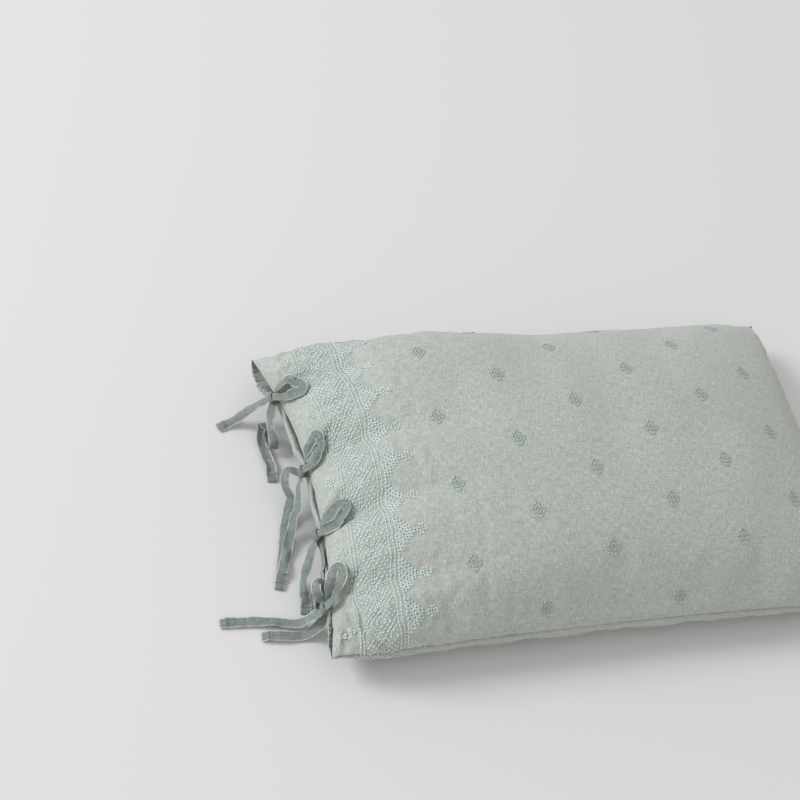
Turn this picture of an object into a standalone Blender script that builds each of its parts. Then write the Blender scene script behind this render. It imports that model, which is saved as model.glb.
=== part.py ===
"""A pillow sham of washed linen, filled and lying on its back.

The case is one filled form: a crowned front panel and a back panel pressed flat on the
surface below, sewn together along three sides. The fourth side is the open mouth, whose two
hemmed lips are drawn together by four bows. Each bow is two sewn-on tapes, one on the front
lip and one on the back lip, and each tape is a solid of its own.

X runs from the mouth (-X) to the closed end (+X), Y across the case, Z up. The origin is the
centre of the flat underside. All sizes are in metres.
"""

import math

import bmesh
import bpy
from mathutils import Vector

# The filled case, seam to seam, and how far its outline draws in between the corners.
LENGTH = 0.790
WIDTH = 0.495
SIDE_DRAW = 0.008
END_DRAW = 0.005
MOUTH_DRAW = 0.028
CORNER_TUCK = 0.006
CORNER_TUCK_REACH = 0.12

# The case in section: the seams' height, the crown of the front panel above them, and the
# powers that make the crown broad on top and steep at the seams.
SEAM_HEIGHT = 0.056
CORNER_SAG = 0.010
CROWN = 0.1165
CROWN_POWER_X = 2.56
CROWN_POWER_Y = 2.34
CROWN_RISE = 0.54
BELLY_POWER_X = 7.0
BELLY_POWER_Y = 5.0
BELLY_FULLNESS = 1.28
SEAM_BULGE = 0.0040
BULGE_HEIGHT = 0.034
BULGE_POWER = 8
BULGE_CORNER_POWER = 6

# The mouth: two hemmed lips with a narrow slit between them, pinched at each bow.
KNOT_Y = (0.166, 0.041, -0.060, -0.170)
LIP = 0.0026
SLIT = 0.0034
SLIT_DEPTH = 0.018
SLIT_PINCH = 0.6
KNOT_PULL = 0.42
KNOT_REACH = 0.060
KNOT_SPREAD = 0.020
PUFF = 0.010
PUFF_REACH = 0.035
LIP_FADE = 0.050
LIP_END_POWER = 8
PUFF_END_POWER = 6

# Gathers that run from a bow into the front panel: which bow, the way they head
# (degrees from +X towards +Y), and their length, depth and half-width. A gather is deepest
# near its start, and fades where the panel is lower than GATHER_FULL_RISE over the seams.
GATHER_SKEW = 0.6
GATHER_FULL_RISE = 0.03
GATHERS = (
    # bow, heading, length, depth, half_width
    (0, 18, 0.085, 0.0045, 0.0075),
    (0, -38, 0.060, 0.0040, 0.0070),
    (1, 34, 0.080, 0.0050, 0.0080),
    (1, -30, 0.060, 0.0035, 0.0070),
    (2, 42, 0.075, 0.0045, 0.0080),
    (2, -12, 0.090, 0.0045, 0.0075),
    (3, 30, 0.070, 0.0050, 0.0080),
    (3, -35, 0.070, 0.0045, 0.0075),
)

# The tapes: flat strips of folded linen with square ends.
TAPE_WIDTH = 0.0145
TAPE_THICKNESS = 0.0016
TAPE_STEP = 0.0062
TAPE_FLAT_SHARE = 0.84
TAPE_SIDES = 6
ROOT_WIDTH = 0.0080
KNOT_WIDTH = 0.0100
KNOT_THICKNESS = 0.0046

# Ways that a tape's flat face can look.
UP = (0.0, 0.0, 1.0)
DOWN = (0.0, 0.0, -1.0)
OUT = (-1.0, 0.0, 0.15)
OUT_UP = (-0.6, 0.0, 0.8)
PANEL = (-0.55, -0.25, 0.80)

# Each tape's route along its middle, from the stitching on its lip through its loop and the
# knot to its free end. Width and thickness are those of the plain tape where they say None,
# and where no facing is given the tape turns as little as it can.
FRONT_ROOT = (ROOT_WIDTH, None, DOWN)
BACK_ROOT = (ROOT_WIDTH, None, UP)
KNOT = (KNOT_WIDTH, KNOT_THICKNESS, OUT)
TUCKED = (KNOT_WIDTH, None, None)
LOOSE = (None, None, None)
ON_PANEL = (None, None, PANEL)
ON_FLOOR = (None, None, UP)
SPRUNG = (None, None, OUT_UP)

TAPES = {
    # x, y, z, (width, thickness, facing)
    "tape_front_1": (
        (-0.3814, 0.1660, 0.0590, FRONT_ROOT),
        (-0.3848, 0.1660, 0.0602, TUCKED),
        (-0.3852, 0.1700, 0.0695, TUCKED),
        (-0.3770, 0.1750, 0.0805, LOOSE),
        (-0.3670, 0.1780, 0.0900, ON_PANEL),
        (-0.3565, 0.1720, 0.0945, ON_PANEL),
        (-0.3520, 0.1560, 0.0995, ON_PANEL),
        (-0.3600, 0.1410, 0.1010, ON_PANEL),
        (-0.3745, 0.1430, 0.0895, LOOSE),
        (-0.3880, 0.1550, 0.0745, TUCKED),
        (-0.3910, 0.1650, 0.0610, KNOT),
        (-0.3935, 0.1685, 0.0520, TUCKED),
        (-0.4030, 0.1680, 0.0380, SPRUNG),
        (-0.4150, 0.1680, 0.0215, SPRUNG),
        (-0.4270, 0.1675, 0.0068, LOOSE),
        (-0.4395, 0.1645, 0.0008, ON_FLOOR),
        (-0.4528, 0.1601, 0.0008, ON_FLOOR),
    ),
    "tape_back_1": (
        (-0.3808, 0.1630, 0.0531, BACK_ROOT),
        (-0.3850, 0.1630, 0.0520, TUCKED),
        (-0.3912, 0.1540, 0.0500, LOOSE),
        (-0.3945, 0.1420, 0.0430, SPRUNG),
        (-0.3935, 0.1300, 0.0325, SPRUNG),
        (-0.3905, 0.1200, 0.0245, LOOSE),
        (-0.3888, 0.1130, 0.0180, ON_FLOOR),
        (-0.3885, 0.1110, 0.0130, LOOSE),
        (-0.3895, 0.1150, 0.0088, LOOSE),
        (-0.3940, 0.1300, 0.0155, ON_FLOOR),
        (-0.3975, 0.1440, 0.0222, LOOSE),
        (-0.3985, 0.1475, 0.0208, LOOSE),
        (-0.3990, 0.1450, 0.0170, LOOSE),
        (-0.3990, 0.1330, 0.0085, ON_FLOOR),
        (-0.3975, 0.1190, 0.0024, ON_FLOOR),
        (-0.3945, 0.1010, 0.0008, ON_FLOOR),
        (-0.3935, 0.0820, 0.0008, ON_FLOOR),
        (-0.3946, 0.0637, 0.0008, ON_FLOOR),
    ),
    "tape_front_2": (
        (-0.3690, 0.0410, 0.0590, FRONT_ROOT),
        (-0.3727, 0.0410, 0.0604, TUCKED),
        (-0.3738, 0.0480, 0.0700, TUCKED),
        (-0.3718, 0.0575, 0.0840, LOOSE),
        (-0.3672, 0.0680, 0.0965, ON_PANEL),
        (-0.3600, 0.0750, 0.1065, ON_PANEL),
        (-0.3520, 0.0650, 0.1095, ON_PANEL),
        (-0.3522, 0.0500, 0.0995, ON_PANEL),
        (-0.3640, 0.0370, 0.0860, LOOSE),
        (-0.3765, 0.0350, 0.0735, TUCKED),
        (-0.3786, 0.0395, 0.0605, KNOT),
        (-0.3797, 0.0340, 0.0520, TUCKED),
        (-0.3795, 0.0240, 0.0450, LOOSE),
        (-0.3795, 0.0120, 0.0390, LOOSE),
        (-0.3820, -0.0030, 0.0290, LOOSE),
        (-0.3870, -0.0190, 0.0150, LOOSE),
        (-0.3930, -0.0350, 0.0055, LOOSE),
        (-0.4010, -0.0560, 0.0030, ON_FLOOR),
        (-0.4095, -0.0780, 0.0030, ON_FLOOR),
        (-0.4150, -0.0950, 0.0030, ON_FLOOR),
    ),
    "tape_back_2": (
        (-0.3688, 0.0390, 0.0531, BACK_ROOT),
        (-0.3728, 0.0390, 0.0512, TUCKED),
        (-0.3790, 0.0450, 0.0465, TUCKED),
        (-0.3865, 0.0500, 0.0475, LOOSE),
        (-0.3940, 0.0485, 0.0480, SPRUNG),
        (-0.3980, 0.0410, 0.0440, SPRUNG),
        (-0.3960, 0.0320, 0.0375, LOOSE),
        (-0.3910, 0.0255, 0.0310, LOOSE),
        (-0.3860, 0.0200, 0.0240, LOOSE),
        (-0.3870, 0.0090, 0.0120, LOOSE),
        (-0.3905, -0.0050, 0.0035, LOOSE),
        (-0.3945, -0.0190, 0.0008, ON_FLOOR),
        (-0.4010, -0.0420, 0.0008, ON_FLOOR),
        (-0.4090, -0.0700, 0.0008, ON_FLOOR),
        (-0.4201, -0.1073, 0.0008, ON_FLOOR),
    ),
    "tape_front_3": (
        (-0.3697, -0.0600, 0.0590, FRONT_ROOT),
        (-0.3735, -0.0600, 0.0604, TUCKED),
        (-0.3742, -0.0540, 0.0700, TUCKED),
        (-0.3680, -0.0490, 0.0820, LOOSE),
        (-0.3580, -0.0430, 0.0950, ON_PANEL),
        (-0.3465, -0.0385, 0.1095, (0.0110, None, PANEL)),
        (-0.3360, -0.0450, 0.1165, (0.0080, None, PANEL)),
        (-0.3395, -0.0580, 0.1080, (0.0110, None, PANEL)),
        (-0.3525, -0.0690, 0.0960, ON_PANEL),
        (-0.3670, -0.0710, 0.0820, LOOSE),
        (-0.3772, -0.0670, 0.0715, TUCKED),
        (-0.3793, -0.0625, 0.0600, KNOT),
        (-0.3808, -0.0670, 0.0510, TUCKED),
        (-0.3835, -0.0770, 0.0400, LOOSE),
        (-0.3862, -0.0890, 0.0260, SPRUNG),
        (-0.3882, -0.1020, 0.0130, SPRUNG),
        (-0.3890, -0.1180, 0.0035, ON_FLOOR),
        (-0.3895, -0.1340, 0.0008, ON_FLOOR),
        (-0.3925, -0.1480, 0.0008, ON_FLOOR),
    ),
    "tape_back_3": (
        (-0.3699, -0.0620, 0.0531, BACK_ROOT),
        (-0.3731, -0.0620, 0.0518, BACK_ROOT),
        (-0.3752, -0.0665, 0.0500, (0.0080, None, None)),
        (-0.3750, -0.0770, 0.0505, (0.0100, None, OUT)),
        (-0.3752, -0.0900, 0.0505, (0.0115, None, OUT)),
        (-0.3768, -0.1040, 0.0490, (0.0120, None, OUT)),
        (-0.3790, -0.1160, 0.0430, LOOSE),
        (-0.3805, -0.1270, 0.0300, LOOSE),
        (-0.3795, -0.1360, 0.0130, LOOSE),
        (-0.3730, -0.1430, 0.0020, LOOSE),
        (-0.3640, -0.1490, 0.0008, ON_FLOOR),
    ),
    "tape_front_4": (
        (-0.3820, -0.1700, 0.0590, FRONT_ROOT),
        (-0.3852, -0.1700, 0.0602, TUCKED),
        (-0.3866, -0.1625, 0.0690, TUCKED),
        (-0.3925, -0.1490, 0.0780, LOOSE),
        (-0.3915, -0.1370, 0.0860, ON_PANEL),
        (-0.3835, -0.1305, 0.0930, ON_PANEL),
        (-0.3745, -0.1345, 0.0985, ON_PANEL),
        (-0.3690, -0.1465, 0.0985, ON_PANEL),
        (-0.3710, -0.1600, 0.0905, LOOSE),
        (-0.3810, -0.1710, 0.0800, TUCKED),
        (-0.3905, -0.1750, 0.0705, TUCKED),
        (-0.3932, -0.1715, 0.0580, KNOT),
        (-0.3938, -0.1720, 0.0470, TUCKED),
        (-0.3955, -0.1675, 0.0290, SPRUNG),
        (-0.4025, -0.1650, 0.0120, SPRUNG),
        (-0.4130, -0.1620, 0.0022, LOOSE),
        (-0.4270, -0.1580, 0.0008, ON_FLOOR),
        (-0.4600, -0.1525, 0.0008, ON_FLOOR),
        (-0.5084, -0.1493, 0.0008, ON_FLOOR),
    ),
    "tape_back_4": (
        (-0.3821, -0.1680, 0.0531, BACK_ROOT),
        (-0.3856, -0.1680, 0.0515, TUCKED),
        (-0.3885, -0.1600, 0.0490, TUCKED),
        (-0.3940, -0.1535, 0.0540, LOOSE),
        (-0.3985, -0.1475, 0.0610, SPRUNG),
        (-0.3970, -0.1385, 0.0630, SPRUNG),
        (-0.3893, -0.1365, 0.0600, SPRUNG),
        (-0.3850, -0.1440, 0.0520, LOOSE),
        (-0.3850, -0.1560, 0.0420, TUCKED),
        (-0.3856, -0.1680, 0.0350, TUCKED),
        (-0.3870, -0.1760, 0.0220, LOOSE),
        (-0.3930, -0.1790, 0.0070, LOOSE),
        (-0.4040, -0.1800, 0.0008, ON_FLOOR),
        (-0.4200, -0.1795, 0.0008, ON_FLOOR),
        (-0.4570, -0.1748, 0.0008, ON_FLOOR),
    ),
}

# The mesh of the case: segments along X and Y.
CASE_SEGMENTS_X = 34
CASE_SEGMENTS_Y = 46
WELD = 0.00002


def mouth_x(v):
    return -LENGTH / 2 + MOUTH_DRAW * (1 - v * v)


def closed_x(v):
    return LENGTH / 2 - END_DRAW * (1 - v * v)


def half_width(u):
    tuck = CORNER_TUCK * math.exp(-(((u + 1) / CORNER_TUCK_REACH) ** 2))
    return WIDTH / 2 - SIDE_DRAW * (1 - u * u) - tuck


def plan(u, v):
    """Where a point of the panels lies in plan; u and v run from -1 to 1 across the case."""
    x = mouth_x(v) + (closed_x(v) - mouth_x(v)) * (u + 1) / 2
    return x, v * half_width(u)


def seam_z(u, v):
    return SEAM_HEIGHT - CORNER_SAG * u ** 4 * v ** 4


def near_knots(y, spread):
    """1 beside a bow, falling to 0 between the bows."""
    return sum(math.exp(-(((y - knot) / spread) ** 2)) for knot in KNOT_Y)


def gather_depth(x, y):
    """How deep the gathers press into the front panel at a point in plan."""
    depth = 0.0
    for bow, heading, length, deepest, half in GATHERS:
        knot_y = KNOT_Y[bow]
        knot_x = mouth_x(knot_y / (WIDTH / 2))
        ahead = Vector((math.cos(math.radians(heading)), math.sin(math.radians(heading))))
        reach = Vector((x - knot_x, y - knot_y))
        along = reach.dot(ahead)
        if 0 < along < length:
            across = abs(reach.x * ahead.y - reach.y * ahead.x)
            swell = math.sin(math.pi * (along / length) ** GATHER_SKEW)
            depth += deepest * swell * math.exp(-((across / half) ** 2))
    return depth


def lip_rise(v):
    """Height of the front lip's outer edge over the seam's plane, none at the corners."""
    return (SLIT / 2 + LIP) * (1 - abs(v) ** LIP_END_POWER)


def slit_half(y, v):
    """Half the slit's width, narrower at each bow and none at the corners."""
    return SLIT / 2 * (1 - SLIT_PINCH * near_knots(y, KNOT_SPREAD / 2)) * (1 - abs(v) ** LIP_END_POWER)


def bulge(u, v, height):
    """How far a panel swells out past its seam at a height over its own edge."""
    share = math.sin(math.pi * min(1.0, max(0.0, height) / BULGE_HEIGHT))
    away = SEAM_BULGE * share * (1 - abs(u * v) ** BULGE_CORNER_POWER)
    return (
        math.copysign(away * abs(u) ** BULGE_POWER, u),
        math.copysign(away * abs(v) ** BULGE_POWER, v),
    )


def front_point(u, v):
    x, y = plan(u, v)
    rise = CROWN * (1 - abs(u) ** CROWN_POWER_X) ** CROWN_RISE
    rise *= (1 - abs(v) ** CROWN_POWER_Y) ** CROWN_RISE
    inward = x - mouth_x(v)
    pull = KNOT_PULL * near_knots(y, KNOT_SPREAD) * math.exp(-inward / KNOT_REACH)
    between = (1 - near_knots(y, KNOT_SPREAD)) * (1 - abs(v) ** PUFF_END_POWER)
    puff = PUFF * between * inward / PUFF_REACH * math.exp(1 - inward / PUFF_REACH)
    height = rise * (1 - pull) + puff + lip_rise(v) * math.exp(-inward / LIP_FADE)
    height -= gather_depth(x, y) * min(1.0, rise / GATHER_FULL_RISE)
    out_x, out_y = bulge(u, v, height - lip_rise(v))
    return Vector((x + out_x, y + out_y, seam_z(u, v) + height))


def back_point(u, v):
    x, y = plan(u, v)
    rise = (1 - abs(u) ** BELLY_POWER_X) * (1 - abs(v) ** BELLY_POWER_Y)
    drop = seam_z(u, v) * min(1.0, BELLY_FULLNESS * rise ** 0.5)
    inward = x - mouth_x(v)
    drop = max(drop, lip_rise(v) * math.exp(-inward / LIP_FADE))
    out_x, out_y = bulge(u, v, drop - lip_rise(v))
    return Vector((x + out_x, y + out_y, max(0.0, seam_z(u, v) - drop)))


def spaced(share):
    """Crowds the mesh's lines towards the seams, where the case curves most."""
    return math.sin(math.pi / 2 * share)


def add_panel(bm, point_at):
    """One panel as a grid, placed by each vertex's share of the case; returns its open rim."""
    grid = bmesh.ops.create_grid(
        bm, x_segments=CASE_SEGMENTS_X, y_segments=CASE_SEGMENTS_Y, size=1
    )["verts"]
    across = bm.verts.layers.float["across"]
    mouth = set()
    for vert in grid:
        u, v = spaced(vert.co.x), spaced(vert.co.y)
        vert[across] = v
        if vert.co.x < -0.999:
            mouth.add(vert)
        vert.co = point_at(u, v)
    return [edge for edge in bm.edges if set(edge.verts) <= mouth]


def fold_in(bm, edges, place):
    """Turns a lip's edge inwards by one strip of faces, with each new vertex placed."""
    across = bm.verts.layers.float["across"]
    grown = bmesh.ops.extrude_edge_only(bm, edges=edges)["geom"]
    for vert in [item for item in grown if isinstance(item, bmesh.types.BMVert)]:
        vert.co = place(vert[across])
    return [item for item in grown if isinstance(item, bmesh.types.BMEdge)]


def lip_edge(v, side):
    """A lip's inner edge: side is 1 for the front lip and -1 for the back lip."""
    x, y = plan(-1, v)
    return Vector((x, y, seam_z(-1, v) + side * slit_half(y, v)))


def slit_floor(v):
    x, y = plan(-1, v)
    return Vector((x + SLIT_DEPTH * (1 - abs(v) ** LIP_END_POWER), y, seam_z(-1, v)))


def linen(name, color):
    material = bpy.data.materials.new(name)
    material.use_nodes = True
    shader = material.node_tree.nodes["Principled BSDF"]
    shader.inputs["Base Color"].default_value = (*color, 1)
    shader.inputs["Roughness"].default_value = 0.9
    shader.inputs["Metallic"].default_value = 0
    return material


def add_object(name, bm, material):
    mesh = bpy.data.meshes.new(name)
    bm.to_mesh(mesh)
    bm.free()
    mesh.shade_smooth()
    mesh.materials.append(material)
    piece = bpy.data.objects.new(name, mesh)
    bpy.context.scene.collection.objects.link(piece)
    return piece


def split_corners(bm):
    """Divides each quad at a sharp seam corner from the corner to the face's middle, so that
    the front and back panels share no diagonal."""
    for corner in [vert for vert in bm.verts if len(vert.link_edges) == 2]:
        for face in list(corner.link_faces):
            far = max(face.verts, key=lambda vert, at=corner.co: (vert.co - at).length)
            bmesh.ops.connect_verts(bm, verts=[corner, far])


def make_case(material):
    bm = bmesh.new()
    bm.verts.layers.float.new("across")
    for side, point_at in ((1, front_point), (-1, back_point)):
        rim = add_panel(bm, point_at)
        rim = fold_in(bm, rim, lambda v, side=side: lip_edge(v, side))
        fold_in(bm, rim, slit_floor)
    bmesh.ops.remove_doubles(bm, verts=bm.verts, dist=WELD)
    split_corners(bm)
    bmesh.ops.recalc_face_normals(bm, faces=bm.faces)
    if bm.calc_volume(signed=True) < 0:
        bmesh.ops.reverse_faces(bm, faces=bm.faces)
    return add_object("case", bm, material)


def between(before, start, end, after, share):
    """A point on the smooth curve from start to end, given the points on either side."""
    square, cube = share ** 2, share ** 3
    return 0.5 * (
        2 * start
        + (end - before) * share
        + (2 * before - 5 * start + 4 * end - after) * square
        + (3 * start - before - 3 * end + after) * cube
    )


def stations(route):
    """Even steps along a route: middle, width, thickness, and the facing where one is given."""
    points = [Vector(row[:3]) for row in route]
    sizes = [(row[3][0] or TAPE_WIDTH, row[3][1] or TAPE_THICKNESS) for row in route]
    facings = [row[3][2] for row in route]
    points = [2 * points[0] - points[1]] + points + [2 * points[-1] - points[-2]]
    steps = []
    for i in range(len(route) - 1):
        length = (points[i + 2] - points[i + 1]).length
        count = max(1, round(length / TAPE_STEP))
        for step in range(count):
            share = step / count
            ease = share * share * (3 - 2 * share)
            middle = between(*points[i:i + 4], share)
            width = sizes[i][0] + (sizes[i + 1][0] - sizes[i][0]) * ease
            thick = sizes[i][1] + (sizes[i + 1][1] - sizes[i][1]) * ease
            steps.append((middle, width, thick, facings[i] if step == 0 else None))
    steps.append((points[-2], *sizes[-1], facings[-1]))
    return steps


def face_directions(middles, facings):
    """Each step's tangent and flat-face direction: carried along the route with the least
    turning, and twisted evenly between the steps whose facing is given."""
    last = len(middles) - 1
    tangents = [
        (middles[min(i + 1, last)] - middles[max(i - 1, 0)]).normalized()
        for i in range(last + 1)
    ]
    face = Vector(facings[0])
    carried = []
    for tangent in tangents:
        face = (face - tangent * face.dot(tangent)).normalized()
        carried.append(face)
    twists = {}
    for i, facing in enumerate(facings):
        if facing is not None:
            wanted = Vector(facing) - tangents[i] * Vector(facing).dot(tangents[i])
            side = tangents[i].cross(carried[i])
            angle = math.atan2(wanted.dot(side), wanted.dot(carried[i]))
            known = list(twists.values())[-1] if twists else 0.0
            twists[i] = angle - math.pi * round((angle - known) / math.pi)
    pinned = sorted(twists)
    faces = []
    for i, face in enumerate(carried):
        before = max(at for at in pinned if at <= i)
        after = min((at for at in pinned if at >= i), default=before)
        share = (i - before) / (after - before) if after > before else 0.0
        twist = twists[before] + (twists[after] - twists[before]) * share
        side = tangents[i].cross(face)
        faces.append(face * math.cos(twist) + side * math.sin(twist))
    return tangents, faces


def section_point(index, width, thick):
    """The tape's section: a flat hexagon, as across and through sizes."""
    flat = TAPE_FLAT_SHARE * width / 2
    corners = (
        (width / 2, 0.0),
        (flat, thick / 2),
        (-flat, thick / 2),
        (-width / 2, 0.0),
        (-flat, -thick / 2),
        (flat, -thick / 2),
    )
    return corners[index % len(corners)]


def make_tape(name, route, material):
    steps = stations(route)
    tangents, faces = face_directions([step[0] for step in steps], [step[3] for step in steps])
    bm = bmesh.new()
    last = len(steps) - 1
    grid = bmesh.ops.create_grid(bm, x_segments=last, y_segments=TAPE_SIDES, size=1)
    for vert in grid["verts"]:
        i = round((vert.co.x + 1) / 2 * last)
        corner = round((vert.co.y + 1) / 2 * TAPE_SIDES)
        middle, width, thick, _ = steps[i]
        across, through = section_point(corner, width, thick)
        side = tangents[i].cross(faces[i])
        vert.co = middle + side * across + faces[i] * through
        vert.co.z = max(vert.co.z, 0.0)
    bmesh.ops.remove_doubles(bm, verts=bm.verts, dist=WELD)
    bmesh.ops.holes_fill(bm, edges=bm.edges, sides=TAPE_SIDES)
    bmesh.ops.recalc_face_normals(bm, faces=bm.faces)
    if bm.calc_volume(signed=True) < 0:
        bmesh.ops.reverse_faces(bm, faces=bm.faces)
    return add_object(name, bm, material)


def clear_scene():
    for item in list(bpy.data.objects):
        bpy.data.objects.remove(item)


clear_scene()
make_case(linen("case_linen", (0.42, 0.48, 0.43)))
tape_linen = linen("tape_linen", (0.33, 0.40, 0.35))
for tape_name, tape_route in TAPES.items():
    make_tape(tape_name, tape_route, tape_linen)
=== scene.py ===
"""A pillow sham of washed linen, filled and lying on its back, with an embroidered band at its
mouth, scattered diamond motifs, and four bows that tie the mouth shut."""

import math
import random

import bmesh
import bpy
import numpy as np
from mathutils import Matrix, Vector, noise
from mathutils.bvhtree import BVHTree


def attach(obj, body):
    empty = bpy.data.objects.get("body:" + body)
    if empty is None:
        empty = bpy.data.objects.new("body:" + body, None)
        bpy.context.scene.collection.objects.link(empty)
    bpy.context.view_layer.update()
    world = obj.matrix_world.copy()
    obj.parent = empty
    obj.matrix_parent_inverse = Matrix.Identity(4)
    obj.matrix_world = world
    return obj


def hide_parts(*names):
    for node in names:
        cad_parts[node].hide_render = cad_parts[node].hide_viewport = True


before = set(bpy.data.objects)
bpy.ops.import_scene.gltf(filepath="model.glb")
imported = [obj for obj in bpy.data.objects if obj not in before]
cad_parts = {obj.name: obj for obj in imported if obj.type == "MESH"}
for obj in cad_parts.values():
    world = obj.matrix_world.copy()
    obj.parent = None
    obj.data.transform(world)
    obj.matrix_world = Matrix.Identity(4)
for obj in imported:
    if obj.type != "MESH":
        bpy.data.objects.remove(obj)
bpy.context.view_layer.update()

# --------------------------------------------------------------------------------------------
# The sweep: a pale, matt studio floor, lit low from the far left by one large soft box and from
# everywhere by a pale sky, so that relief shows and shadows fall softly to the near right.

FLOOR_SIZE = 14.0
FLOOR_DROP = 0.0012
SWEEP_COLOUR = "E3E1E1"
KEY_FROM = (-5.60, 2.30, 4.40)
KEY_SIZE = 3.0
KEY_POWER = 300.0
SKY_COLOUR = "F1F0F0"
KEY_COLOUR = "F5FAFE"
SKY_STRENGTH = 0.75


def linear(hex_colour):
    """An sRGB hex colour as linear RGBA."""
    shares = [int(hex_colour[i:i + 2], 16) / 255 for i in (0, 2, 4)]
    tones = [s / 12.92 if s <= 0.04045 else ((s + 0.055) / 1.055) ** 2.4 for s in shares]
    return (*tones, 1.0)


def add_node(material, kind, settings=None, **links):
    """Adds a node. Settings are its properties or its inputs, and links are its inputs' sources,
    each a socket. An input is given by its name, or by its number where names repeat."""
    node = material.node_tree.nodes.new(kind)
    for name, value in (settings or {}).items():
        if isinstance(name, str) and hasattr(node, name):
            setattr(node, name, value)
        else:
            node.inputs[name].default_value = value
    for name, source in links.items():
        target = int(name[1:]) if name[1:].isdigit() else name
        material.node_tree.links.new(node.inputs[target], source)
    return node


def new_material(name):
    material = bpy.data.materials.new(name)
    material.use_nodes = True
    return material, material.node_tree.nodes["Principled BSDF"]


def add_piece(name, bm, material):
    """Links a finished bmesh as an object at the origin, shaded smooth."""
    mesh = bpy.data.meshes.new(name)
    bm.to_mesh(mesh)
    bm.free()
    mesh.shade_smooth()
    mesh.materials.append(material)
    piece = bpy.data.objects.new(name, mesh)
    bpy.context.scene.collection.objects.link(piece)
    return piece


# Painted board: matt and nearly white, with the faintest unevenness from the roller.
board, board_shader = new_material("painted_board")
board_shader.inputs["Roughness"].default_value = 0.85
roller = add_node(board, "ShaderNodeTexNoise", {"Scale": 3.0, "Detail": 2.0})
tone = add_node(board, "ShaderNodeMix", {"data_type": "RGBA", "A": linear(SWEEP_COLOUR)})
tone.inputs["B"].default_value = linear("DFDEDE")
board.node_tree.links.new(tone.inputs["Factor"], roller.outputs["Fac"])
board.node_tree.links.new(board_shader.inputs["Base Color"], tone.outputs["Result"])

floor_bm = bmesh.new()
bmesh.ops.create_grid(floor_bm, x_segments=2, y_segments=2, size=FLOOR_SIZE / 2)
bmesh.ops.translate(floor_bm, verts=floor_bm.verts, vec=(0, 0, -FLOOR_DROP))
add_piece("studio_floor", floor_bm, board)

bpy.context.scene.view_settings.view_transform = "Standard"
world = bpy.data.worlds.new("pale_sky")
world.use_nodes = True
world.node_tree.nodes["Background"].inputs["Color"].default_value = linear(SKY_COLOUR)
world.node_tree.nodes["Background"].inputs["Strength"].default_value = SKY_STRENGTH
bpy.context.scene.world = world

key_data = bpy.data.lights.new("soft_box", "AREA")
key_data.shape = "DISK"
key_data.size = KEY_SIZE
key_data.energy = KEY_POWER
key_data.color = linear(KEY_COLOUR)[:3]
key = bpy.data.objects.new("soft_box", key_data)
key.location = KEY_FROM
key.rotation_mode = "QUATERNION"
key.rotation_quaternion = (-Vector(KEY_FROM)).to_track_quat("-Z", "Y")
bpy.context.scene.collection.objects.link(key)

# The camera looks down across the near side from the mouth's end, a little turned, so that
# the case fills the frame's lower half and its closed end runs out of it.
CAMERA_AT = (-1.0777, -1.3869, 2.2573)
CAMERA_RIGHT = (0.9483, -0.2330, 0.2155)
CAMERA_UP = (0.0645, 0.8063, 0.5880)
CAMERA_LENS = 90.0
camera_data = bpy.data.cameras.new("camera")
camera_data.lens = CAMERA_LENS
camera_data.sensor_width = 36.0
camera = bpy.data.objects.new("camera", camera_data)
right, up = Vector(CAMERA_RIGHT).normalized(), Vector(CAMERA_UP)
back = right.cross(up).normalized()
turn = Matrix((right, back.cross(right), back)).transposed().to_4x4()
camera.matrix_world = Matrix.Translation(CAMERA_AT) @ turn
bpy.context.scene.collection.objects.link(camera)
bpy.context.scene.camera = camera

# --------------------------------------------------------------------------------------------
# The case: two panels of one linen, sewn together inside out along three sides and turned, so
# the seams are crisp grooves. The fourth side is the mouth, with a narrow rolled hem on either
# lip. A soft filling crowns the front panel and presses the back one flat.

LENGTH = 0.790
WIDTH = 0.495
SIDE_DRAW = 0.008
END_DRAW = 0.005
MOUTH_DRAW = 0.028
BOW_DRAW = 0.010
BOW_DRAW_OVER = 0.6
CORNER_TUCK = 0.006
CORNER_TUCK_REACH = 0.12
SEAM_HEIGHT = 0.056
CORNER_SAG = 0.010
CROWN = 0.1165
CROWN_POWER_X = 2.56
CROWN_POWER_Y = 2.34
CROWN_RISE = 0.54
BELLY_POWER_X = 7.0
BELLY_POWER_Y = 5.0
BELLY_FULLNESS = 1.28
SEAM_BULGE = 0.0040
BULGE_HEIGHT = 0.034
BULGE_POWER = 8
BULGE_CORNER_POWER = 6

KNOT_Y = (0.166, 0.041, -0.060, -0.170)
LIP = 0.0026
SLIT = 0.0034
SLIT_DEPTH = 0.018
SLIT_PINCH = 0.6
KNOT_PULL = 0.42
KNOT_REACH = 0.060
KNOT_SPREAD = 0.020
PUFF = 0.010
PUFF_REACH = 0.035
LIP_FADE = 0.050
LIP_END_POWER = 8
PUFF_END_POWER = 6

GATHER_SKEW = 0.6
GATHER_FULL_RISE = 0.03
GATHERS = (
    # bow, heading, length, depth, half_width
    (0, 18, 0.085, 0.0045, 0.0075),
    (0, -38, 0.060, 0.0040, 0.0070),
    (1, 34, 0.080, 0.0050, 0.0080),
    (1, -30, 0.060, 0.0035, 0.0070),
    (2, 42, 0.075, 0.0045, 0.0080),
    (2, -12, 0.090, 0.0045, 0.0075),
    (3, 30, 0.070, 0.0050, 0.0080),
    (3, -35, 0.070, 0.0045, 0.0075),
)

CASE_SEGMENTS_X = 130
CASE_SEGMENTS_Y = 92
MOUTH_CROWDING = 0.2
# The share of painted light inside the slit; the rest is painted shade.
INSIDE_PAINTED_LIGHT = 0.2
WELD = 0.00001


def drawn_by_bows(v):
    """How far the knots have drawn the mouth in, past its own curve: most at the near side."""
    share = min(1.0, max(0.0, (1 - v) / BOW_DRAW_OVER))
    return BOW_DRAW * share * share * (3 - 2 * share)


def mouth_x(v):
    return -LENGTH / 2 + MOUTH_DRAW * (1 - v * v) + drawn_by_bows(v)


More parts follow.
